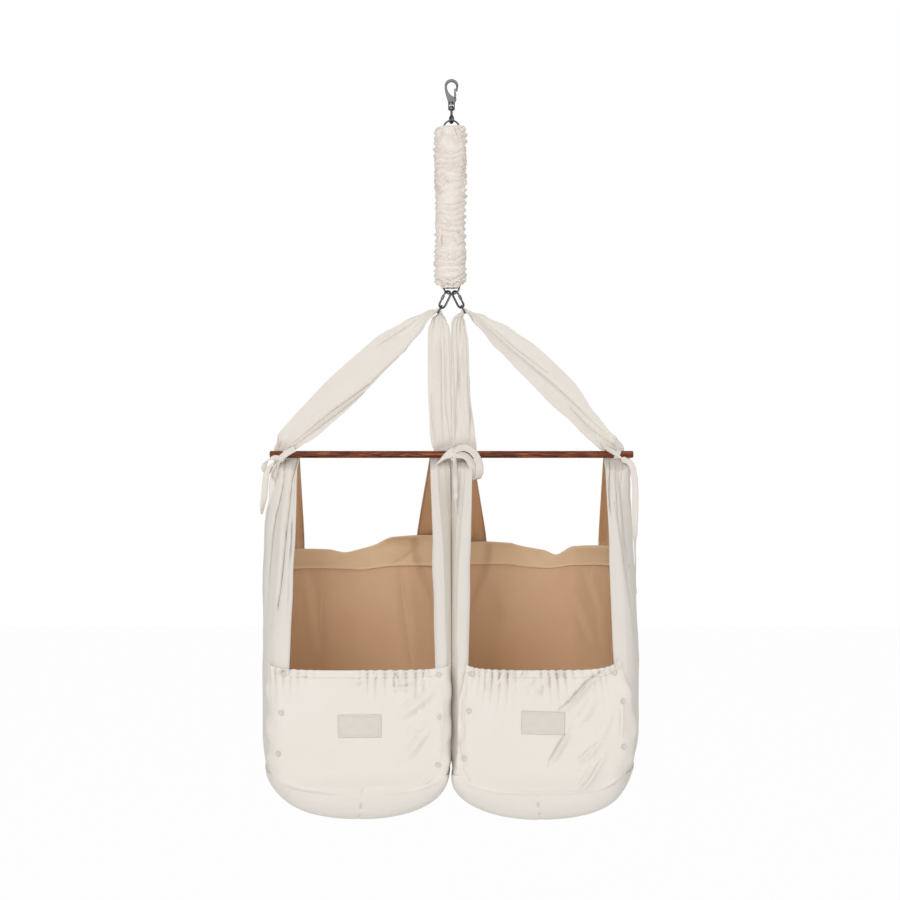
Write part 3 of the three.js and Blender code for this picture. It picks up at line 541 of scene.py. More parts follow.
def springWire(direction, turn):
    radius, lead = spring["radius"], spring["lead"]
    line = [(radius * math.cos(a), radius * math.sin(a), -lead) for a in map(math.radians, (-90, -72, -54, -36, -20))]
    line += [(radius, -1.6, -lead + 2.2), (radius, 0, -lead + 7)]
    line += [(radius * math.cos(a), 0, radius * math.sin(a)) for a in np.radians(np.arange(-20, 216, 23.5))]
    path = throughPoints(line, np.linspace(0, 1, 90))
    wireZ = spring["top"] if direction > 0 else spring["bottom"]
    turned = math.radians(turn)
    x, y, z = path[:, 0], direction * path[:, 1], path[:, 2]
    return np.stack([
        x * math.cos(turned) - y * math.sin(turned), x * math.sin(turned) + y * math.cos(turned),
        wireZ - direction * radius + direction * z,
    ], 1)


def makeSpring():
    top = tubeObject("springTopWire", springWire(1, 0), spring["wire"], 12, "wireSteel")
    dress(top, "spring_top", "spring_top_loop")
    low = tubeObject("springBottomWire", springWire(-1, spring["bottomTurn"]), spring["wire"], 12, "wireSteel")
    dress(low, "spring_bottom", "spring_bottom_loop")
    startZ = spring["top"] - spring["radius"] - spring["lead"]
    endZ = spring["bottom"] + spring["radius"] + spring["lead"]
    overlap = 1.4 / spring["radius"]  # how far the coil's ends run on beside the loops' ends
    fromTurn = -math.pi / 2 - overlap
    toTurn = math.radians(90 + spring["bottomTurn"]) - (spring["turns"] + 1) * 2 * math.pi + overlap
    t = np.linspace(0, 1, spring["turns"] * 20)
    angle = mix(fromTurn, toTurn, t)
    path = points3(spring["radius"] * np.cos(angle), spring["radius"] * np.sin(angle), mix(startZ, endZ, t))
    coil = tubeObject("springCoilWire", path, spring["wire"], 6, "wireSteel")
    stretch(coil, "spring_coil")
    print("spring wound:", spring["turns"], "turns")


coverLook = {
    "middleX": -2.4, "top": -103, "bottom": -465, "radius": 33.8, "mouth": 19, "tilt": 1.6, "thick": 1.6,
    "gathers": 25, "depth": 3.6, "fine": 1.7,
    "webTop": -131, "webBottom": -434, "webHalf": 10, "webSlack": 4, "webBends": 5,
}


def makeCover():
    look = coverLook

    def place(u, v):
        angle = u * 2 * math.pi
        ringX, ringY = np.cos(angle), np.sin(angle)
        drawn = smooth((v - 0.95) / 0.045)
        reach = mix(look["radius"] - 2.5 * smooth(1 - v / 0.03), look["mouth"], drawn)
        uneven = 1.2 * np.sin(7 * v + 0.6) + 0.9 * softNoise(ringX * 2 + 7, ringY * 2 + v * 9, 5)
        reach = reach + uneven * (1 - drawn)
        height = mix(look["top"], look["bottom"], v) + look["tilt"] * np.cos(angle + 0.3) * (1 - smooth(v / 0.07))
        height = height + 3.4 * softNoise(ringX * 1.1 + 9, ringY * 1.1 + v * 14, 8) * smooth(v / 0.03) * (1 - drawn)
        height = height + 3 * drawn * np.sin(3 * angle + 1) * smooth((1 - v) / 0.02)
        return points3(look["middleX"] + reach * ringX, reach * ringY, height)

    def push(u, v):
        ringX, ringY = np.cos(u * 2 * math.pi), np.sin(u * 2 * math.pi)
        drift = 0.7 * softNoise(ringX * 1.3 + 5, ringY * 1.3 + v * 8, 3)
        drift = drift + 0.3 * softNoise(ringX * 2 + 20, ringY * 2 + v * 17, 4)
        puff = np.abs(np.sin(math.pi * (look["gathers"] * v + drift * 1.6))) ** 0.6 * 2 - 1.2
        strength = clamp(0.62 + 0.75 * softNoise(ringX * 1.5 + 3, ringY * 1.5 + v * 25, 12))
        second = np.abs(np.sin(math.pi * (1.9 * look["gathers"] * v - 2.4 * drift))) ** 0.6 * 2 - 1.2
        partly = clamp(softNoise(ringX * 1.8 + 30, ringY * 1.8 + v * 31, 14) * 1.6)
        level = smooth(v / 0.012) * smooth((1 - v) / 0.01)
        scrunch = 1.6 * np.sin(9 * u * 2 * math.pi + 3 * drift) * smooth((v - 0.93) / 0.03)
        return (look["depth"] * puff * strength + look["fine"] * second * partly + scrunch) * level

    def inner(u, v):
        wave = look["webSlack"] * np.sin(v * look["webBends"] * 2 * math.pi)
        return points3(mix(-look["webHalf"], look["webHalf"], u), wave, mix(look["webTop"], look["webBottom"], v))

    made = clothObject("springCoverCloth", place, 120, 460, look["thick"], push, True, -1, outer="cover")
    stretch(made, "spring_cover", "gathered")
    strap = clothObject("springSafetyWebbing", inner, 4, 90, 2.0, outer="ribbon", inner="ribbon")
    stretch(strap, "safety_strap", "hung")
    print("spring covered")


def coverFinish():
    paint = Paint("gatheredCotton", roughness=0.9, **{"Sheen Weight": 0.1})
    where = paint.place("UV")
    blotch, slub = paint.noise(where, 14, 2), paint.noise(where, 240, 1)
    wrinkle = paint.noise(paint.node("ShaderNodeMapping", {}, {"Vector": where, "Scale": (1, 3.2, 1)}), 34, 2, 0.6)
    even = paint.colors(blotch, (240, 230, 221), (248, 240, 232))
    # painted shade in the hollows of the gathers
    color = paint.colors(paint.folds() * 0.6, even, (168, 140, 122))
    return paint.finish(color, None, wrinkle + slub * 0.05, 0.0011, 0.6)


def turned(points, side):  # from a link's own upright place to where it hangs
    hangX, hangY, hangZ = hangPoint(side)
    tilt = math.radians(clip["tilt"]) * sides[side]
    x, y, z = points.T
    acrossX, downZ = x * math.cos(tilt) + z * math.sin(tilt), z * math.cos(tilt) - x * math.sin(tilt)
    return points3(acrossX + hangX, y + hangY, downZ + hangZ)


clipTop = spring["wire"] + 2 * ring["gap"] + clip["wire"]
clipMiddle = clip["half"] + clip["bend"] - clipTop
ringMiddle = 2 * (clip["half"] + clip["bend"]) - clipTop - clip["wire"] - ring["gap"] - ring["wire"] + ring["bend"]


def makeRings(side):
    right = [(ring["bend"] * a, ring["bend"] * b) for a, b in ((0.71, 0.71), (1, 0))]
    right += [(ring["bend"] * 0.95, -ring["bar"] * 0.55), (ring["bend"] * 0.68, -ring["bar"])]
    outline = [(0, ring["bend"]), *right, (0, -ring["bar"]), *[(-y, z) for y, z in right[::-1]]]
    loop = np.array([(0, y, z - ringMiddle) for y, z in outline])
    around = throughPoints(np.concatenate([loop[-2:], loop, loop[:3]]), np.linspace(0, 1, 12 * (len(loop) + 4) + 1))
    path = around[24 : 24 + 12 * len(loop)]
    made = tubeObject("strapRing" + side.capitalize(), turned(path, side), ring["wire"], 12, "steel", closed=True)
    dress(made, "rig", "strap_ring_" + side)


strapLook = {
    "thick": 1.7, "bunchThick": 4.0, "billow": 3.0, "bunch": 2.2, "pleats": 4, "crisp": 2.5, "edge": 1.0,
    "overRing": 3.6, "behindBar": 5, "bends": (-826, -849), "seed": {"left": 40, "right": 60},
}


strapFolds = {  # fold lines as seen from the front: points (x, z), depth, width, steepness
    "left": [
        ([(-361, -816), (-274, -744), (-188, -681), (-116, -609), (-62, -559)], -5, 9, 3),
        ([(-358, -821), (-263, -751), (-179, -686), (-127, -631)], 3.5, 5, 2.5),
        ([(-91, -541), (-127, -564), (-168, -593)], -3, 7, 2), ([(-60, -548), (-105, -582), (-161, -631)], -3, 14, 0),
        ([(-396, -780), (-387, -807), (-396, -823)], 3, 5, 2), ([(-342, -774), (-240, -672)], 2, 24, 0),
        ([(-28, -537), (-24, -604), (-23, -717), (-18, -825)], -3.5, 7, 2.5),
        ([(-19, -577), (-14, -740), (-1, -819)], -2.5, 4, 2), ([(-46, -706), (-45, -762), (-39, -807)], -2.5, 4, 2),
        ([(-35, -559), (-42, -650)], 2, 10, 0), ([(-8, -559), (-3, -672), (1, -807)], -2, 4, 2),
    ],
    "right": [
        ([(33, -512), (76, -541), (132, -595), (245, -695), (342, -785)], -4, 8, 2.5),
        ([(64, -528), (103, -555), (155, -604), (218, -654)], -3, 6, 2),
        ([(362, -819), (312, -778), (267, -735)], -3.5, 6, 2.5),
        ([(177, -654), (290, -744)], 2.5, 18, 0), ([(376, -774), (362, -821)], 3, 6, 2),
        ([(21, -519), (18, -609), (12, -710), (9, -807)], -3.5, 6, 2.5),
        ([(26, -593), (16, -683), (12, -785)], -2.5, 4, 2),
        ([(39, -663), (43, -740), (42, -812)], -4, 5, 2.5), ([(30, -559), (33, -672)], 2, 9, 0),
    ],
}


def makeStrap(side):
    tilt = math.radians(clip["tilt"])
    hangX, hangY, hangZ = hangPoint(side)
    hangX, hangY = -abs(hangX), abs(hangY)
    ringBar = ringMiddle + ring["bar"]
    ringX, ringZ = hangX - ringBar * math.sin(tilt), hangZ - ringBar * math.cos(tilt)
    wrap = ring["wire"] + strapLook["overRing"]
    behind = bar["radius"] + strapLook["behindBar"]
    around = np.radians((132, 88, 44, 0))
    over = [(ringX + wrap * math.cos(a), hangY, ringZ + wrap * math.sin(a), 15, 0) for a in around]
    # each station: x, y, z, the cloth's width, how far it has turned from front-to-back to sideways
    legs = {  # the leg out to the bar's end, then over the ring, and the leg down to the bar's middle
        "left": [
            (-380, behind, -838, 38, 90), (-379, behind - 1, -826, 40, 90), (-363, 2, -804, 56, 84),
            (-317, 0, -763, 73, 80), (-242, 0, -691, 82, 76), (-155, 0, -607, 71, 72), (-97, 0, -557, 48, 62),
            (-53, 0, -525, 30, 36), *over,
            (-28, 0, -538, 40, -56), (-28, 0, -558, 50, -72), (-26.5, -1, -600, 55, -80), (-26, -1, -700, 56, -84),
            (-22.5, 2, -795, 50, -86), (-19, behind - 1, -826, 43, -90), (-18.5, behind, -838, 42, -90),
        ],
        "right": [
            (-371, behind, -838, 36, 90), (-369, behind - 1, -826, 38, 90), (-346, 2, -807, 46, 84),
            (-303, 0, -762, 54, 80), (-246, 0, -697, 75, 78), (-175, 0, -627, 72, 74), (-120, 0, -581, 64, 66),
            (-68, 0, -539, 46, 46), *over,
            (-16, 0, -538, 34, -56), (-15.5, 0, -558, 37, -70), (-17.5, 1, -600, 39, -80), (-21, 1, -700, 41, -84),
            (-27, 3, -795, 52, -86), (-30, behind - 1, -826, 54, -90), (-30, behind, -838, 53, -90),
        ],
    }
    stations = np.array(legs[side], float)
    seed = strapLook["seed"][side]
    t = np.linspace(0, 1, 2001)
    line = throughPoints(stations[:, :3], t)
    ahead = np.gradient(line, axis=0)
    ahead /= np.linalg.norm(ahead, axis=1, keepdims=True)
    where = t * (len(stations) - 1)
    i = np.minimum(where.astype(int), len(stations) - 2)
    share = smooth(where - i)
    width = mix(stations[i, 3], stations[i + 1, 3], share)
    turn = np.radians(mix(stations[i, 4], stations[i + 1, 4], share))
    sideways = np.cross(ahead, [0, 1, 0])
    sideways /= np.linalg.norm(sideways, axis=1, keepdims=True)
    way = np.stack([np.zeros_like(t), np.cos(turn), np.zeros_like(t)], 1) + sideways * np.sin(turn)[:, None]
    top = (8 + 1.5) / (len(stations) - 1)  # where the cloth lies over the ring's bar

    def along(values, v):
        return np.stack([np.interp(v, t, values[:, k]) for k in range(3)], -1)

    def place(u, v):
        edge = strapLook["edge"] * softNoise(v * 26, 2 + 3 * u, seed) * np.abs(2 * u - 1)
        return along(line, v) + along(way, v) * ((u - 0.5) * np.interp(v, t, width) + edge)[..., None]

    placed = toSide(place, side)

    def push(u, v):
        forward = sides[side] * np.where(v < top, -1, 1)
        wide = np.interp(v, t, width)
        spread = smooth((wide - 26) / 34)
        x, _, z = np.moveaxis(placed(u, v), -1, 0)
        lines = strapLook["crisp"] * drawnFolds(x, z, strapFolds[side]) * smooth((wide - 18) / 26)
        billow = strapLook["billow"] * softNoise(u * 1.7 + 3, v * 9, seed + 1) * spread
        bunch = strapLook["bunch"] * np.sin(2 * math.pi * strapLook["pleats"] * u + seed) * (1 - spread)
        edges = inside(u, 0.04)
        return forward * (lines * mix(0.4, 1, edges) + billow) + bunch * edges

    def thick(u, v):
        return mix(strapLook["bunchThick"], strapLook["thick"], smooth((np.interp(v, t, width) - 18) / 40))

    made = clothObject("hangerCloth" + side.capitalize(), placed, 96, 460, thick, push)
    stretch(made, "hanger_strap_" + side, "gathered")


def sideEdges(side, z):
    drop = bag["topZ"] - z
    under = smooth((drop - 5) / 28)
    front = clamp(drop / (bag["topZ"] - bag["frontRimZ"]))
    run = np.maximum(drop, 0) / (bag["topZ"] - bag["backRimZ"])
    back = (run + 1 - np.sqrt((run - 1) ** 2 + 0.008 * clamp(run))) / 2
    lower = smooth((bag["backRimZ"] - z) / (bag["backRimZ"] - bag["rimZ"]))
    drawn = side["drawn"] * smooth((bag["drawnFrom"] - z) / (bag["drawnFrom"] - bag["rimZ"]))
    return {
        "yFront": mix(bag["bundleFront"], mix(-14, -bag["halfLength"], front), under),
        "yBack": mix(bag["bundleBack"], bag["halfLength"], back),
        "xFront": mix(side["topEdge"], side["front"], front),
        "xBack": mix(mix(side["topEdge"], side["backTop"], back), side["back"], lower),
        "wall": mix(side["topWall"], side["wall"], smooth(drop / 150)) + drawn,
        "square": mix(2, side["square"], smooth(drop / 420)),
    }


sideFolds = {  # fold lines on the outer sides as seen from the front: points (x, z), depth, width, steepness
    "left": [
        ([(-346, -845), (-358, -895), (-361, -938), (-367, -1025), (-370, -1160)], -9, 9, 2.5),
        ([(-350, -985), (-345, -1066), (-342, -1190)], -5, 8, 2),
        ([(-380, -880), (-386, -1000), (-384, -1200)], -3, 12, 0),
    ],
    "right": [
        ([(357, -852), (350, -917), (344, -970)], -6, 7, 2),
        ([(368, -858), (369, -981), (380, -1067), (386, -1210)], -8, 8, 2.5),
        ([(357, -925), (368, -1034), (376, -1160)], -4, 6, 2), ([(378, -862), (389, -936), (391, -1080)], -7, 9, 0),
    ],
}


def makeSideCloth(side, which):
    shape = outerSide if which == "outer" else innerSide
    seed = shape["seed"][side]
    outward = (1 if which == "outer" else -1) * sides[side]
    hanging = randomFolds(seed, shape["folds"])

    def place(u, v):
        z = mix(bag["topZ"], bag["rimZ"] - 3, v**1.6)
        edges = sideEdges(shape, z)
        lap = clamp(u / bag["lapShare"] - 1 / bag["lapShare"] + 1)  # it turns the back corner to lie behind the back
        u = clamp(u / (1 - bag["lapShare"]))
        lap = lap * bag["lap"] * smooth((backTops[side][0 if which == "outer" else -1][1] - 6 - z) / 50)
        angle = math.pi * (u + 0.07 * np.sin(2 * math.pi * u))
        bulge = np.maximum(0, np.sin(angle)) ** (2 / edges["square"])
        k = (1 - signedPower(np.cos(angle), 2 / edges["square"])) / 2
        x = mix(mix(edges["xFront"], edges["xBack"], k), edges["wall"], bulge)
        drop = bag["topZ"] - z
        swell = shape["swell"][side] * bulge * smooth((drop - 50) / 120) * (1 - smooth((drop - 240) / 200))
        wander = 1.4 * softNoise(z / 60, 3, seed + 8) * smooth((0.1 - u) / 0.1) * smooth(v / 0.2)
        x = x - swell + wander * (1 - smooth((v - 0.6) / 0.2)) + (lap if which == "outer" else -lap)
        return points3(x, mix(edges["yFront"], edges["yBack"], k) + lap * 0.05, z)

    placed = toSide(place, side)

    def push(u, v):
        height = v**1.6
        edge = inside(u, 0.05, 0.01)
        broad = 0.6 * softNoise(u * 3, height * 2.5, seed + 1) * smooth(height / 0.2)
        small = 0.12 * (crease(u * 12, height * 8, seed + 3) - 0.3) * smooth(height / 0.15)
        amount = shape["fold"] * (foldLines(u, height, hanging) + broad + small) * edge * smooth((1 - height) / 0.05)
        if which == "outer":
            x, y, z = np.moveaxis(placed(u, v), -1, 0)
            lines = drawnFolds(x, z, sideFolds[side]) * smooth((60 - y) / 80) * smooth(u / 0.02)
            amount = amount + shape["crisp"] * lines
        else:
            flat = smooth(height / 0.05) * smooth((1 - height) / 0.06) * inside(u, 0.15, 0.1)
            amount = amount + shape["middle"] * flat
        return outward * amount

    name = which + "SideCloth" + side.capitalize()
    made = clothObject(
        name, placed, 180, 200, 1.8, push, facing=outward, outer="cotton", inner="inner",
        settle=ownSide(side) if which == "inner" else None,
    )
    dress(made, "bag_" + side, f"bag_{side}_{which}_side", "hung")


def planAt(y):  # the outer and the inner side's place at the rim, at a distance back
    k = (y / bag["halfLength"] + 1) / 2
    walls = []
    for shape in (outerSide, innerSide):
        edge = mix(shape["front"], shape["back"], k)
        bulge = oval(y / bag["halfLength"], shape["square"])
        walls.append(mix(edge, shape["wall"] + shape["drawn"], bulge))
    return walls


def tubRun(t):
    arc = 0.34
    straight = bag["halfLength"] - bag["endRound"]
    away = np.abs(2 * t - 1)
    angle = np.maximum(0, away - 1 + arc) / arc * math.pi / 2
    run = np.where(away < 1 - arc, straight * away / (1 - arc), straight + bag["endRound"] * np.sin(angle))
    return np.sign(t - 0.5) * run, np.cos(angle)


def tubDepth(across, end):
    return bag["depth"] * oval(across, bag["sideRound"]) * end


def makeBase(side):
    seed, lap = baseLook["seed"][side], baseLook["lap"]

    def place(u, v):
        y, end = tubRun(v)
        outer, inner = planAt(y)
        across = -signedPower(np.cos(math.pi * u), 2 / bag["sideRound"])
        x = mix(outer - lap, inner + lap, (across + 1) / 2)
        depth = tubDepth(across, end) * (1 + baseLook["deeper"] / bag["depth"])
        return points3(x, y * (1 + lap / bag["halfLength"]), bag["rimZ"] + baseLook["rise"] - depth)

    def push(u, v):
        seamLine = bump(u, 0.5, 0.007) * baseLook["seam"]
        drift = 3 * softNoise(v * 9, 1, seed)
        pucker = 0.5 * np.sin(2 * math.pi * baseLook["puckers"] * v + drift) * bump(u, 0.5, 0.03)
        soft = baseLook["soft"] * softNoise(u * 4, v * 5, seed + 1) + 0.7 * (crease(u * 7, v * 12, seed + 2) - 0.3)
        rim = inside(u, 0.06) * inside(v, 0.03)
        return -sides[side] * ((soft + pucker) * rim - seamLine)

    made = clothObject(
        "baseCloth" + side.capitalize(), toSide(place, side), 168, 130, 1.8, push, facing=-sides[side],
        outer="cotton", inner="inner", settle=ownSide(side),
    )
    dress(made, "bag_" + side, f"bag_{side}_base", "hung")


backTops = {  # the back's upper edge from the outer to the inner corner: share across, height
    "left": [(0, -1071), (0.29, -1083), (0.7, -1064), (0.82, -1051), (1, -1037)],
    "right": [(0, -1063), (0.09, -1065), (0.32, -1091), (0.42, -1078), (0.84, -1064), (1, -1053)],
}


backFolds = {
    "left": [
        ([(-363, -1101), (-344, -1199), (-329, -1323)], 4, 12, 0),
        ([(-137, -1059), (-112, -1150), (-100, -1323)], 5, 9, 2.5),
        ([(-287, -1138), (-225, -1298)], 2.5, 20, 0), ([(-164, -1199), (-188, -1347)], 2, 12, 0),
    ],
    "right": [
        ([(331, -1126), (366, -1224), (368, -1323)], 4, 10, 0), ([(292, -1175), (346, -1298)], 3, 10, 0),
        ([(356, -1091), (341, -1150)], 3, 6, 2), ([(119, -1138), (169, -1298)], 2.5, 18, 0),
        ([(238, -1089), (257, -1138)], 2.5, 9, 0),
    ],
}


backBottoms = {  # the hem's lower edge in the same way
    "left": [(0, -1120), (0.5, -1126), (0.8, -1118), (1, -1114)],
    "right": [(0, -1112), (0.45, -1122), (0.8, -1116), (1, -1110)],
}


hemFolds = {"left": [([(-168, -1119), (-124, -1100), (-89, -1072)], 3, 9, 2.5)], "right": []}
backLook = {  # how the back turns into the sides at its corners, how far it bows out, and its hem's two layers
    "share": 0.14, "deep": 60, "wide": 62, "inset": 2.4, "bow": 6, "broad": 3.0, "fine": 1.0, "crisp": 0.7,
    "hem": 3.0, "hemRoll": 1.6, "hemSoft": 1.2, "seed": {"left": 240, "right": 260},
}


def wallAt(shape, z, y):  # a side's place in plan, at a height and a distance back
    edges = sideEdges(shape, z)
    k = clamp((y - edges["yFront"]) / (edges["yBack"] - edges["yFront"]))
    bulge = oval(2 * k - 1, edges["square"])
    return mix(mix(edges["xFront"], edges["xBack"], k), edges["wall"], bulge)


def edgeAt(table, side, k):
    across, heights = zip(*table[side])
    return sum(np.interp(clamp(k + shift), across, heights) for shift in (-0.05, 0, 0.05)) / 3


def backCorner(u, z, shape, rounding, way):  # from a side's end to the back's straight part, sharp or rounded
    look = backLook
    t = clamp(u / look["share"])
    edges = sideEdges(shape, z)
    yEnd = bag["halfLength"] - look["deep"]
    xEnd = wallAt(shape, z, yEnd) + way * look["inset"]
    xCorner, yCorner = edges["xBack"] + way * 1.5, edges["yBack"]
    sharpX = np.where(t < 0.5, mix(xEnd, xCorner, 2 * t), xCorner + way * look["wide"] * (2 * t - 1))
    sharpY = np.where(t < 0.5, mix(yEnd, yCorner, 2 * t), yCorner)
    angle = (1 - t) * math.pi / 2
    xInside = xCorner + way * look["wide"]
    roundX = xInside + (xEnd - xInside) * np.sin(angle)
    roundY = mix(yEnd, yCorner, np.cos(angle))
    return mix(sharpX, roundX, rounding), mix(sharpY, roundY, rounding)


def backPlan(u, z, top):
    share = backLook["share"]
    outerX, outerY = backCorner(u, z, outerSide, 1, 1)
    innerX, innerY = backCorner(1 - u, z, innerSide, smooth((top - z - 30) / 170), -1)
    middle = mix(outerX, innerX, clamp((u - share) / (1 - 2 * share)))
    x = np.where(u < share, outerX, np.where(u > 1 - share, innerX, middle))
    return x, np.where(u < 0.5, outerY, innerY)


def makeBack(side):
    look, share, seed = backLook, backLook["share"], backLook["seed"][side]

    def place(u, v):
        top = edgeAt(backTops, side, (u - share / 2) / (1 - share))
        z = mix(bag["rimZ"] - 1, top, v)
        x, y = backPlan(u, z, top)
        return points3(x, y + look["bow"] * np.sin(math.pi * u) * smooth(v / 0.15), z)

    def push(u, v):
        edge = inside(u, 0.16) * smooth(v / 0.05) * mix(1, 0.4, smooth((v - 0.85) / 0.1))
        broad = look["broad"] * softNoise(u * 2.4, v * 2.2, seed)
        fine = look["fine"] * softNoise(u * 6 + v * 3, v * 5, seed + 1)
        x, _, z = np.moveaxis(placed(u, v), -1, 0)
        return sides[side] * edge * (broad + fine + look["crisp"] * drawnFolds(x, z, backFolds[side]))

    def hemPlace(u, v):
        across = (u - share / 2) / (1 - share)
        top = edgeAt(backTops, side, across)
        z = mix(edgeAt(backBottoms, side, across), top - 0.5, v)
        x, y = backPlan(u, z, top)
        inward = look["hem"] + look["hemRoll"] * bump(v, 0.02, 0.1)
        wing = smooth((np.abs(2 * u - 1) - 1 + 2 * share) / (2 * share))
        return points3(x - np.sign(2 * u - 1) * inward * wing, y + look["bow"] * np.sin(math.pi * u) - inward, z)

    def hemPush(u, v):
        x, _, z = np.moveaxis(hemPlaced(u, v), -1, 0)
        soft = look["hemSoft"] * softNoise(u * 7, v * 2, seed + 5) * inside(v, 0.1)
        return sides[side] * (soft - drawnFolds(x, z, hemFolds[side]))

    placed, hemPlaced = toSide(place, side), toSide(hemPlace, side)
    name = side.capitalize()
    made = clothObject("backCloth" + name, placed, 130, 90, 1.8, push, facing=-sides[side], inner="inner")
    dress(made, "bag_" + side, f"bag_{side}_back_panel", "hung")
    hem = clothObject(
        "backHem" + name, hemPlaced, 130, 26, 1.6, hemPush, facing=-sides[side], outer="hem", inner="hem",
    )
    dress(hem, "bag_" + side, f"bag_{side}_back_band", "folded")


flap = {
    "outer": -374, "inner": {"left": -9, "right": -16}, "top": -1279, "seamZ": -1540, "cornerRise": 66,
    "cornerRound": 2.6, "off": 5, "belly": 9, "tuck": 8, "gathers": 24, "gatherDepth": 4.2, "scallop": 3.0,
    "ruffle": 5, "crisp": 2.3, "cornerLift": {"left": (14, 11), "right": (24, 14)},  # at its outer and inner corner
    "snaps": [-1290, -1362, -1440, -1508], "bends": (-1532, -1486), "inset": {"left": (0, 0), "right": (32, 13)},
    "elastic": 12, "elasticDown": 6, "ripples": 22, "seed": {"left": 300, "right": 320},
}


def frontY(x):
    past = np.maximum(0, np.maximum(
        (outerSide["front"] - x) / (outerSide["front"] - outerSide["wall"]),
        (x - innerSide["front"]) / (innerSide["wall"] - innerSide["front"]),
    ))
    square = np.where(x < outerSide["front"], outerSide["square"], innerSide["square"])
    return -bag["halfLength"] * oval(past, square)


def outsideFront(x, away):
    slope = frontY(x + 0.5) - frontY(x - 0.5)
    length = np.hypot(slope, 1)
    return x + away * slope / length, frontY(x) - away / length


def flapTop(u, side):
    seed = flap["seed"][side]
    scallops = np.abs(np.sin(math.pi * (flap["gathers"] * u + softNoise(u * 5, 1, seed)))) ** 0.7 - 0.6
    middle = inside(u, 0.06) * clamp(0.7 + softNoise(u * 7, 6, seed))
    outer, inner = flap["cornerLift"][side]
    lift = np.where(u < 0.5, outer, inner) * ((2 * u - 1) ** 2) ** 1.7
    return flap["top"] + lift - 2.5 + flap["scallop"] * scallops * middle


def flapPlace(u, v, side):
    spread = mix(u, (1 - np.cos(math.pi * u)) / 2, 0.75)
    insetOuter, insetInner = flap["inset"][side]
    inner = flap["inner"][side] - insetInner * (1 - smooth(v / 0.4))
    outer = flap["outer"] + insetOuter * (1 - v) ** 2 * (1 - smooth(v / 0.8))
    x = mix(outer, inner, spread)
    out = np.abs(x - (flap["outer"] + flap["inner"][side]) / 2) / ((flap["inner"][side] - flap["outer"]) / 2)
    rounding = oval(clamp(out), flap["cornerRound"])
    low = mix(flap["seamZ"] + flap["cornerRise"], flap["seamZ"] + 1.5, rounding)
    z = mix(flapTop(u, side), low, v)
    away = flap["off"] + flap["belly"] * np.sin(math.pi * v) * np.sin(math.pi * u)
    away = away - flap["tuck"] * rounding * smooth((v - 0.82) / 0.18)
    pinned = np.min([np.abs(z - snap) for snap in flap["snaps"]], axis=0)
    loose = smooth((pinned - 8) / 24) * smooth((0.1 - np.minimum(u, 1 - u)) / 0.1) * smooth((1 - v) / 0.12)
    px, py = outsideFront(x, away + flap["ruffle"] * loose)
    return points3(px, py, z)


def flapPush(u, v, side, placed):
    seed = flap["seed"][side]
    drift = softNoise(u * 5, 1, seed)
    wave = np.sin(2 * math.pi * (flap["gathers"] * u + drift) - math.pi / 2)
    reach = 0.035 + 0.09 * clamp(0.3 + softNoise(u * 9, 4, seed + 2))
    level = np.exp(-v / reach) * inside(u, 0.05) * clamp(0.6 + softNoise(u * 7, 6, seed))
    gather = flap["gatherDepth"] * level * (0.8 + wave)
    x, _, z = np.moveaxis(placed(u, v), -1, 0)
    casing = -0.7 * bump(flapTop(u, side) - z, 15, 1.6)
    edge = inside(u, 0.04) * smooth((1 - v) / 0.05)
    soft = 1.6 * softNoise(u * 4, v * 3, seed + 3) + 0.7 * (crease(u * 5 + v * 2, v * 4, seed + 4) - 0.3)
    lines = flap["crisp"] * drawnFolds(x, z, flapFolds[side]) * smooth((1 - v) / 0.03)
    return gather + casing + edge * soft + lines


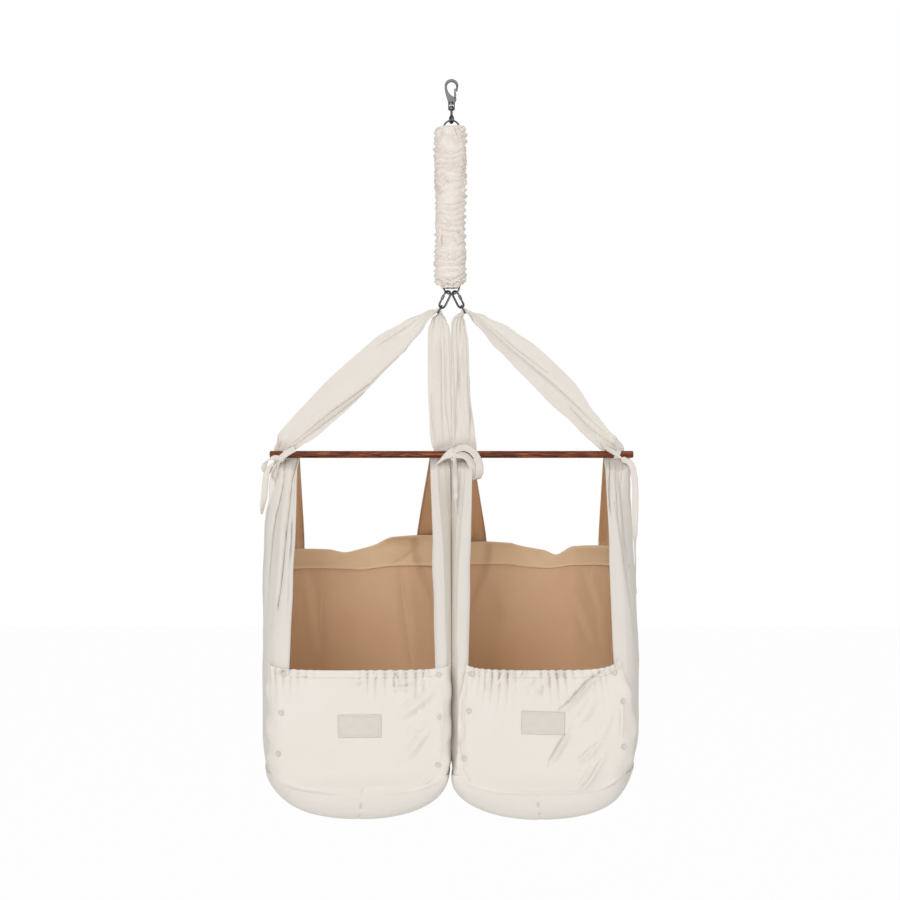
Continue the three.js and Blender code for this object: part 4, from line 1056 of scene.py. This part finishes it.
flapFolds = {  # fold lines: points (x, z), depth, width, steepness (0 for a soft one)
    "left": [
        ([(-358, -1291), (-347, -1279), (-335, -1278), (-330, -1288), (-332, -1297)], 4.5, 6, 2.5),
        ([(-205, -1312), (-188, -1303)], 2, 6, 2), ([(-115, -1295), (-113, -1315)], 2.6, 5, 2.5),
        ([(-107, -1284), (-104, -1301)], 2.4, 4, 2), ([(-80, -1303), (-89, -1316), (-127, -1317)], 2.6, 5, 2),
        ([(-38, -1321), (-73, -1348), (-103, -1372)], 4, 10, 0),
        ([(-36, -1325), (-69, -1352), (-101, -1374)], 1.6, 6, 2),
        ([(-53, -1389), (-95, -1403)], 1.6, 8, 0), ([(-50, -1405), (-73, -1432), (-89, -1458)], 3.2, 8, 0),
        ([(-21, -1301), (-19, -1342), (-20, -1413), (-27, -1469)], 2.6, 5, 1.6),
        ([(-32, -1514), (-62, -1532)], 3, 6, 2.5),
        ([(-42, -1499), (-56, -1514)], 2.2, 5, 2), ([(-343, -1514), (-300, -1528), (-249, -1538)], 2, 9, 0),
        ([(-310, -1293), (-294, -1288)], 2, 4, 2), ([(-155, -1280), (-159, -1297)], 2, 4, 2),
        ([(-50, -1276), (-58, -1301)], 2.2, 4, 2),
    ],
    "right": [
        ([(109, -1279), (94, -1309)], 3, 5, 2.5), ([(122, -1278), (118, -1301)], 2.6, 4, 2.5),
        ([(154, -1276), (143, -1299)], 3, 5, 2.5), ([(198, -1290), (169, -1321), (167, -1342)], 3, 9, 0),
        ([(223, -1277), (224, -1295)], 3, 4, 2.5), ([(69, -1284), (73, -1321)], 2, 6, 2),
        ([(339, -1265), (298, -1272)], 4.5, 4, 2.5),
        ([(323, -1276), (279, -1307), (243, -1347), (222, -1364)], 5.5, 8, 3),
        ([(238, -1409), (219, -1440), (202, -1469)], 4.5, 7, 2.5), ([(292, -1342), (261, -1387)], 2.6, 8, 0),
        ([(304, -1426), (275, -1464)], 3, 7, 2), ([(288, -1438), (257, -1469)], 2.4, 6, 2),
        ([(312, -1458), (273, -1520)], 3.4, 7, 2.5), ([(292, -1469), (257, -1524)], 2.6, 7, 2),
        ([(326, -1372), (304, -1419)], 2, 8, 0),
        ([(27, -1295), (25, -1354), (21, -1438), (26, -1479), (36, -1503)], 3, 6, 2.5),
        ([(26, -1276), (26, -1301)], 2.6, 4, 2), ([(349, -1352), (347, -1417)], 2.6, 5, 2.5),
        ([(337, -1505), (316, -1526), (292, -1540)], 2.6, 6, 2),
    ],
}


def makeFlap(side):
    placed = toSide(lambda u, v: flapPlace(u, v, side), side)

    def push(u, v):
        return -sides[side] * flapPush(u, v, side, placed)

    def casing(u, v):
        x = mix(outerSide["front"] + 10, innerSide["front"] - 10, u)
        y = -bag["halfLength"] - 1.2 + 0.5 * np.sin(2 * math.pi * flap["ripples"] * u)
        return points3(x, y, flap["top"] - flap["elasticDown"] - flap["elastic"] * v)

    name = side.capitalize()
    made = clothObject(
        "frontFlap" + name, placed, 240, 150, 1.8, push, facing=-sides[side], inner="inner", settle=ownSide(side),
    )
    stretch(made, f"flap_{side}_panel", "gathered")
    hem = clothObject(
        "flapElasticCasing" + name, toSide(casing, side), 160, 6, 1.4, facing=-sides[side],
        outer="inner", inner="inner",
    )
    dress(hem, "flap_" + side, f"flap_{side}_elastic", "gathered")
    return made


def frontOf(cloth):  # finds how far forward a cloth reaches at x, z
    bpy.context.view_layer.update()
    view = cloth.evaluated_get(bpy.context.evaluated_depsgraph_get())

    def seat(x, z):
        hit, place, normal, _ = view.ray_cast(Vector((x * mm, -0.8, z * mm)), Vector((0, 1, 0)))
        return (np.array(place) / mm, np.array(normal)) if hit else (None, None)

    return seat


labelLook = {
    "width": 88, "height": 46, "across": 60, "up": 32, "thick": 1.4, "follows": 0.65, "lift": 1.5, "border": 4.2,
    "groove": 1.2, "rimDown": 0.9, "tilt": {"left": 0.6, "right": -1.6},
}


def middleOf(node):
    low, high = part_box(node)
    return (low + high) / 2 / mm


def makeLabel(side, seat):  # sewn on: it follows the flap's folds in part
    look = labelLook
    turn = math.radians(look["tilt"][side])
    middle = middleOf(f"flap_{side}_label")

    def place(u, v):
        x0, z0 = (u - 0.5) * look["width"], (v - 0.5) * look["height"]
        x = middle[0] + x0 * math.cos(turn) - z0 * math.sin(turn)
        z = middle[2] + x0 * math.sin(turn) + z0 * math.cos(turn)
        reach = np.array([[seat(a, b)[0][1] for a, b in zip(rowX, rowZ)] for rowX, rowZ in zip(x, z)])
        inset = np.minimum(look["width"] / 2 - np.abs(x0), look["height"] / 2 - np.abs(z0))
        seam = look["groove"] * bump(inset, look["border"], 1.2) + look["rimDown"] * smooth((0.8 - inset) / 0.8)
        return points3(x, mix(reach.min(), reach, look["follows"]) - look["lift"] + seam, z)

    name = "barePatch" + side.capitalize()
    made = clothObject(name, place, look["across"], look["up"], look["thick"], outer="patch", inner="patch")
    dress(made, "flap_" + side, f"flap_{side}_label", "laid")


capProfile = [  # radius and height of a pressed snap cap, from its dimple out and round to its post
    (0.1, 1.1), (2.2, 1.0), (3.4, 1.5), (4.4, 2.5), (5.2, 2.75), (5.8, 2.3), (6.0, 1.4), (5.9, 0.5), (5.2, 0.1),
    (2.0, 0.0), (1.9, -1.0), (0.1, -1.0),
]


def makeCap(name, x, z, seat, around=28, lift=0.2):
    near = [seat(x + dx, z + dz)[1] for dx, dz in ((6, 0), (-6, 0), (0, 6), (0, -6), (0, 0))]
    outward = np.mean([normal for normal in near if normal is not None], axis=0)
    outward /= np.linalg.norm(outward)
    axisX = np.cross([0, 0, 1], outward)
    axisX /= np.linalg.norm(axisX)
    axisY = np.cross(outward, axisX)
    middle, vertices = seat(x, z)[0], []
    for radius, height in capProfile:
        for angle in np.linspace(0, 2 * math.pi, around, endpoint=False):
            spoke = math.cos(angle) * axisX + math.sin(angle) * axisY
            vertices.append(middle + outward * (height + lift) + radius * spoke)
    faces = [face[:1] + face[:0:-1] for face in ringFaces(len(capProfile), around)]  # facing out
    return meshObject(name, vertices, faces, [finish["cap"]])


def makeCaps(side, seat):
    for index in range(1, 7):
        node = f"flap_{side}_snap_{index}"
        middle = middleOf(node)
        made = makeCap(f"snapCap{side.capitalize()}{index}", middle[0], middle[2], seat)
        dress(made, "flap_" + side, node)


def makeRibbon(name, line, width, way, steps=60, curl=0.0):  # way: its width's direction, or one for each point
    line, way = np.asarray(line, float), np.asarray(way, float)
    if way.ndim == 1:
        way = np.repeat(way[None], len(line), 0)

    def place(u, v):
        direction = throughPoints(way, v)
        direction = direction / np.linalg.norm(direction, axis=-1, keepdims=True)
        return throughPoints(line, v) + direction * ((u - 0.5) * width)[..., None]

    def push(u, v):
        return curl * (2 * u - 1) ** 2 + 0.25 * softNoise(u * 3, v * 12, 7)

    return clothObject(name, place, 6, steps, 0.9, push, outer="ribbon", inner="ribbon")


def makeKnot(name, middle, size, seed):
    u, v = np.meshgrid(np.linspace(0, 1, 33)[:-1], np.linspace(0.02, 0.98, 20))
    angle, rise = u * 2 * math.pi, (v - 0.5) * math.pi
    lumps = 1 + 0.13 * np.sin(3 * angle + 5 * rise + seed) + 0.08 * np.sin(7 * angle - 3 * rise)
    shape = points3(np.cos(rise) * np.cos(angle) * lumps, np.cos(rise) * np.sin(angle) * lumps, np.sin(rise) * lumps)
    shape = (shape * np.array(size) + np.array(middle)).reshape(-1, 3)
    faces = ringFaces(*u.shape)
    uvs = [(shape[i][0] * mm + shape[i][1] * mm, shape[i][2] * mm) for face in faces for i in face]
    return meshObject(name, shape, faces, [finish["ribbon"]], None, uvs)


def bandLine(x, radius, lean=0.0):
    turn = np.radians(np.arange(-15, 346, 15))
    return [(x + lean * math.sin(a), radius * math.cos(a), bar["z"] + radius * math.sin(a)) for a in turn]


def frontEdge(z):  # how far forward a bag's inner side has come at a height, with room for a ribbon on it
    return float(sideEdges(innerSide, np.array(float(z)))["yFront"]) - 9


tieTape = 14
ties = {  # node: body, and its pieces: a ribbon's line, width, way, steps and curl, or a knot's middle, size and seed
    "left": ("bag_left", {
        "Band": ([
            (-352, -13, -827), (-360, -14, -831), (-371, -15, -838), (-381, -15, -846), (-384, -12, -852),
        ], tieTape, [(0.4, 0.2, -0.9), (0.5, 0.2, -0.85), (0.6, 0.2, -0.8), (0.8, 0.2, -0.5), (0.9, 0.2, -0.3)], 40),
        "Wrap": (bandLine(-376, 9.6, 3), 11, (1, 0, 0)),
        "Knot": ((-384, -14, -851), (7.5, 6, 6.5), 1),
        "Loop": ([
            (-386, -16, -848), (-401, -20, -847), (-415, -23, -855), (-421, -23, -870), (-416, -21, -883),
            (-404, -19, -872), (-390, -16, -855),
        ], 13, [
            (0.4, 0.6, 0.7), (0.3, 0.6, 0.8), (0.7, 0.6, 0.4), (1, 0.5, 0), (0.7, 0.7, -0.4), (0.6, 0.7, 0.3),
            (0.4, 0.7, 0.5),
        ], 80),
        "Tail1": ([
            (-386, -17, -850), (-402, -26, -860), (-414, -29, -882), (-418, -29, -912), (-420, -28, -936),
            (-423, -27, -953), (-425, -27, -974),
        ], tieTape, [
            (0.7, 0.3, 0.6), (0.8, 0.2, 0.5), (1, 0.1, 0.2), (1, 0, 0.1), (1, 0.1, 0), (0.8, 0.6, 0.2), (0.15, 1, 0),
        ], 70, 0.6),
        "Tail2": ([
            (-385, -18, -852), (-393, -31, -866), (-399, -35, -888), (-402, -38, -914), (-402, -38, -938),
            (-404, -37, -952), (-407, -37, -970),
        ], 13, [
            (0.8, 0.4, 0.4), (0.9, 0.1, 0.3), (1, -0.1, 0.1), (1, 0.1, 0), (1, 0.2, 0), (0.7, 0.7, 0), (0.2, 1, 0),
        ], 70, 0.6),
        "SmallLoop": ([
            (-385, -20, -853), (-392, -34, -866), (-400, -40, -880), (-401, -42, -891), (-395, -42, -895),
            (-390, -40, -884), (-388, -30, -866), (-386, -20, -854),
        ], 10.5, (0.35, 1, 0.2), 70),
    }),
    "center": ("bag_right", {
        "Wrap": (bandLine(2, 9.6, 4), 12, (1, 0, 0)),
        "Knot": ((7, -16, -841), (8.5, 6.5, 8), 4),
        "Loop": ([
            (4, -17, -836), (14, -20, -827), (32, -26, -825), (49, -32, -835), (60, -37, -854), (63, -40, -876),
            (59, -41, -892), (51, -40, -894), (49, -36, -876), (42, -30, -855), (30, -24, -843), (12, -19, -840),
        ], 18, [
            (0.1, 0.5, 0.9), (0.1, 0.5, 0.9), (0.3, 0.5, 0.8), (0.7, 0.5, 0.5), (0.9, 0.5, 0.2), (1, 0.4, 0),
            (0.7, 0.8, -0.2), (0.4, 1, 0.2), (1, 0.4, 0), (0.9, 0.4, 0.2), (0.5, 0.5, 0.7), (0.2, 0.5, 0.9),
        ], 110),
        "Sweep": (
            [(4, -17, -836), (-7, -20, -838), (-20, -20, -847), (-31, -18, -858), (-37, -15, -868)],
            27, [(0.3, 0.4, 0.9), (0.4, 0.2, 0.9), (0.5, 0.1, 0.85), (0.6, 0.1, 0.75), (0.7, 0.1, 0.7)], 60,
        ),
        "Tail": ([
            (6, -18, -846), (8, -24, -862), (9, frontEdge(-890) - 4, -890),
            *[(x, frontEdge(z) - 5, z) for x, z in ((8, -920), (10, -945), (12, -968))],
        ], 10.5, [
            (0.8, 0.5, 0), (0.8, 0.5, 0.1), (0.8, 0.5, 0), (0.7, -0.6, 0), (0.5, 0.9, 0), (0.3, 1, 0),
        ], 60, 0.6),
    }),
    "right": ("bag_right", {
        "Wrap": (bandLine(374, 9.6, 3), 12, (1, 0, 0)),
        "Band": (
            [(338, -10, -820), (350, -13, -827), (364, -15, -835), (378, -15, -844), (388, -12, -852)],
            17, [(0.5, 0.2, -0.85), (0.45, 0.2, -0.9), (0.4, 0.2, -0.9), (0.5, 0.2, -0.8), (0.7, 0.2, -0.6)], 40,
        ),
        "Knot": ((388, -13, -852), (7, 6, 6), 2),
        "Tail": ([
            (388, -15, -852), (400, -19, -858), (408, -22, -876), (412, -24, -912), (412, -25, -960),
            (411, -25, -1010), (412, -25, -1040), (413, -25, -1090), (412, -25, -1130), (413, -25, -1153),
        ], tieTape, [
            (0.6, 0.3, 0.7), (0.8, 0.2, 0.5), (1, 0.1, 0.2), (1, 0.1, 0), (1, 0, 0), (1, 0.4, 0), (0.4, 1, 0),
            (0.3, 1, 0), (0.4, 1, 0), (0.6, 1, 0),
        ], 130, 0.6),
    }),
}


def makeTies():
    for tie, (body, pieces) in ties.items():
        for piece, values in pieces.items():
            name = "tie" + tie.capitalize() + piece
            made = (makeKnot if piece == "Knot" else makeRibbon)(name, *values)
            dress(made, body, "tie_" + tie)
            if piece != "Knot":  # a knot is a lump, with no flat size
                declareSheet(made, "hung" if "Tail" in piece else "folded")
    print("ribbons tied")


padLook = {
    "halfWidth": 156, "endHalfWidth": 124, "halfLength": 331, "middleY": -14, "topZ": -1536, "crown": 7, "edge": 14,
    "quilt": 1.6, "quiltSize": 26, "overFloor": 9, "thinnest": 4, "fill": 0.7,
}


def makePads():
    look = padLook
    u, v = np.meshgrid(np.linspace(0, 1, 45), np.linspace(0, 1, 81))
    t = 2 * v - 1
    y = look["middleY"] + look["halfLength"] * t
    outer, inner = planAt(y)
    half = mix(look["endHalfWidth"], look["halfWidth"], 1 - t**4)
    x = (outer + inner) / 2 + (2 * u - 1) * half
    past = clamp(np.maximum(0, np.abs(y) - (bag["halfLength"] - bag["endRound"])) / bag["endRound"])
    hollow = tubDepth((2 * u - 1) * half / ((inner - outer) / 2), np.sqrt(1 - past**2))
    low = bag["rimZ"] - hollow + look["overFloor"]
    rim = 2 * np.minimum(np.minimum(u, 1 - u) * half, np.minimum(v, 1 - v) * look["halfLength"]) / look["edge"]
    rim = np.sqrt(clamp(1 - (1 - clamp(rim)) ** 2))
    top = look["topZ"] + look["crown"] * np.sin(math.pi * u) ** 0.5 * (1 - t**6)
    middle = np.minimum((top + low) / 2, top - look["thinnest"])
    along, across = (x + y) / look["quiltSize"], (x - y) / look["quiltSize"]
    upper = mix(middle, top, rim) + look["quilt"] * np.abs(np.sin(along) * np.sin(across)) ** 0.5 * rim
    lower = mix(middle, np.minimum(low, middle - look["thinnest"] / 2), rim)
    vertices = np.concatenate([points3(x, y, height).reshape(-1, 3) for height in (upper, lower)])
    for side in sides:
        placed = toSide(lambda u, v: vertices, side)(0, 0)
        faces = shellFaces(*u.shape, facing=sides[side])[0]
        made = meshObject("mattress" + side.capitalize(), placed, faces, [finish["pad"]])
        dress(made, "bag_" + side, f"bag_{side}_mattress")
    print("mattresses laid")


def finishNode(name, key, bevel=0.0):
    node = nodes[name]
    node.data.materials.clear()
    node.data.materials.append(finish[key])
    if bevel:
        edge = node.modifiers.new("softEdges", "BEVEL")
        edge.width, edge.segments, edge.limit_method, edge.angle_limit = bevel * mm, 2, "ANGLE", math.radians(32)
    node.data.polygons.foreach_set("use_smooth", [True] * len(node.data.polygons))
    split = node.modifiers.new("crispEdges", "EDGE_SPLIT")
    split.split_angle = math.radians(38)


studio = {
    "floorZ": -2.55, "floorHalf": 14.0, "floorGlow": 0.97, "world": 0.56, "aim": (0, 0, -0.95),
    "camera": (-0.0034, -4.2, -0.83), "sensor": 36, "pixels": 900, "perPixel": 2.256,  # of the photo, mm at the bar
    "lamps": [  # name, place, size, watts
        ("keyLight", (-1.6, -6.6, 1.4), 2.0, 104), ("frontLight", (0.7, -8.2, -0.9), 2.6, 94),
        ("topLight", (0.3, 1.4, 2.0), 2.0, 9),
    ],
}


def addObject(name, data):
    made = bpy.data.objects.new(name, data)
    bpy.context.scene.collection.objects.link(made)
    return made


def makeStudio():
    scene = bpy.context.scene
    scene.view_settings.view_transform = "Standard"
    world = scene.world = bpy.data.worlds.new("paleRoom")
    world.use_nodes = True
    sky = Sketch(world.node_tree)
    background = sky.tree.nodes["Background"].inputs
    seen, through = (sky.node("ShaderNodeLightPath", {}, {}, f"Is {ray} Ray") for ray in ("Camera", "Transmission"))
    shown = seen.maths("MAXIMUM", seen, through)
    sky.join(background["Strength"], shown * (1 - studio["world"]) + studio["world"])
    background["Color"].default_value = (1, 1, 1, 1)
    mesh = bpy.data.meshes.new("studioFloor")
    half = studio["floorHalf"]
    mesh.from_pydata([(-half, -half, 0), (half, -half, 0), (half, half, 0), (-half, half, 0)], [], [(0, 1, 2, 3)])
    floor = addObject("studioFloor", mesh)
    floor.location.z = studio["floorZ"]
    paint = Paint("paleFloor", roughness=0.9)
    paint.shader.inputs["Base Color"].default_value = (0.95, 0.95, 0.95, 1)
    rays, glossy = (paint.node("ShaderNodeLightPath", {}, {}, f"Is {ray} Ray") for ray in ("Camera", "Glossy"))
    glow = paint.node("ShaderNodeEmission", {}, {"Color": (1, 1, 1, 1), "Strength": 1.0}, "Emission")
    share = rays.maths("MAXIMUM", rays, glossy) * studio["floorGlow"]
    shader = Wire(paint, paint.shader.outputs[0])
    blend = paint.node("ShaderNodeMixShader", {}, {0: share, 1: shader, 2: glow}, "Shader")
    paint.join(paint.tree.nodes["Material Output"].inputs["Surface"], blend)
    mesh.materials.append(paint.material)
    for name, place, size, power in studio["lamps"]:
        light = bpy.data.lights.new(name, "AREA")
        light.size, light.energy = size, power
        lamp = addObject(name, light)
        lamp.location = place
        lamp.rotation_euler = (Vector(studio["aim"]) - Vector(place)).to_track_quat("-Z", "Y").to_euler()
    camera = bpy.data.cameras.new("photoView")
    camera.sensor_width = studio["sensor"]
    camera.lens = studio["sensor"] * abs(studio["camera"][1]) / (studio["pixels"] * studio["perPixel"] * mm)
    view = scene.camera = addObject("photoView", camera)
    view.location = studio["camera"]
    view.rotation_euler = (math.pi / 2, 0, 0)
    print("studio lit")


finish["cover"] = coverFinish()
# the back hem's tan is painted shade and painted warm light through the cloth
finish["hem"] = cottonFinish("hemCottonInShade", clothLook["hem"], clothLook["hemDeep"], 0.0012, 0.35)
makeSpring()
makeCover()
for side in sides:
    makeRings(side)
    makeStrap(side)
    for which in ("outer", "inner"):
        makeSideCloth(side, which)
    makeBase(side)
    makeBack(side)
    seat = frontOf(makeFlap(side))
    makeLabel(side, seat)
    makeCaps(side, seat)
    print(side, "bag dressed")
makeTies()
makePads()
finishNode("spreader_bar", "wood", 0.5)
finishNode("hook_body", "steel", 0.5)
for name in ("hook_gate", "hook_gate_pin", "swivel_eye"):
    finishNode(name, "steel", 0.25)
for side in sides:
    for part in ("body", "gate", "rivet"):
        finishNode(f"carabiner_{side}_{part}", "steel", 0.15)
makeStudio()
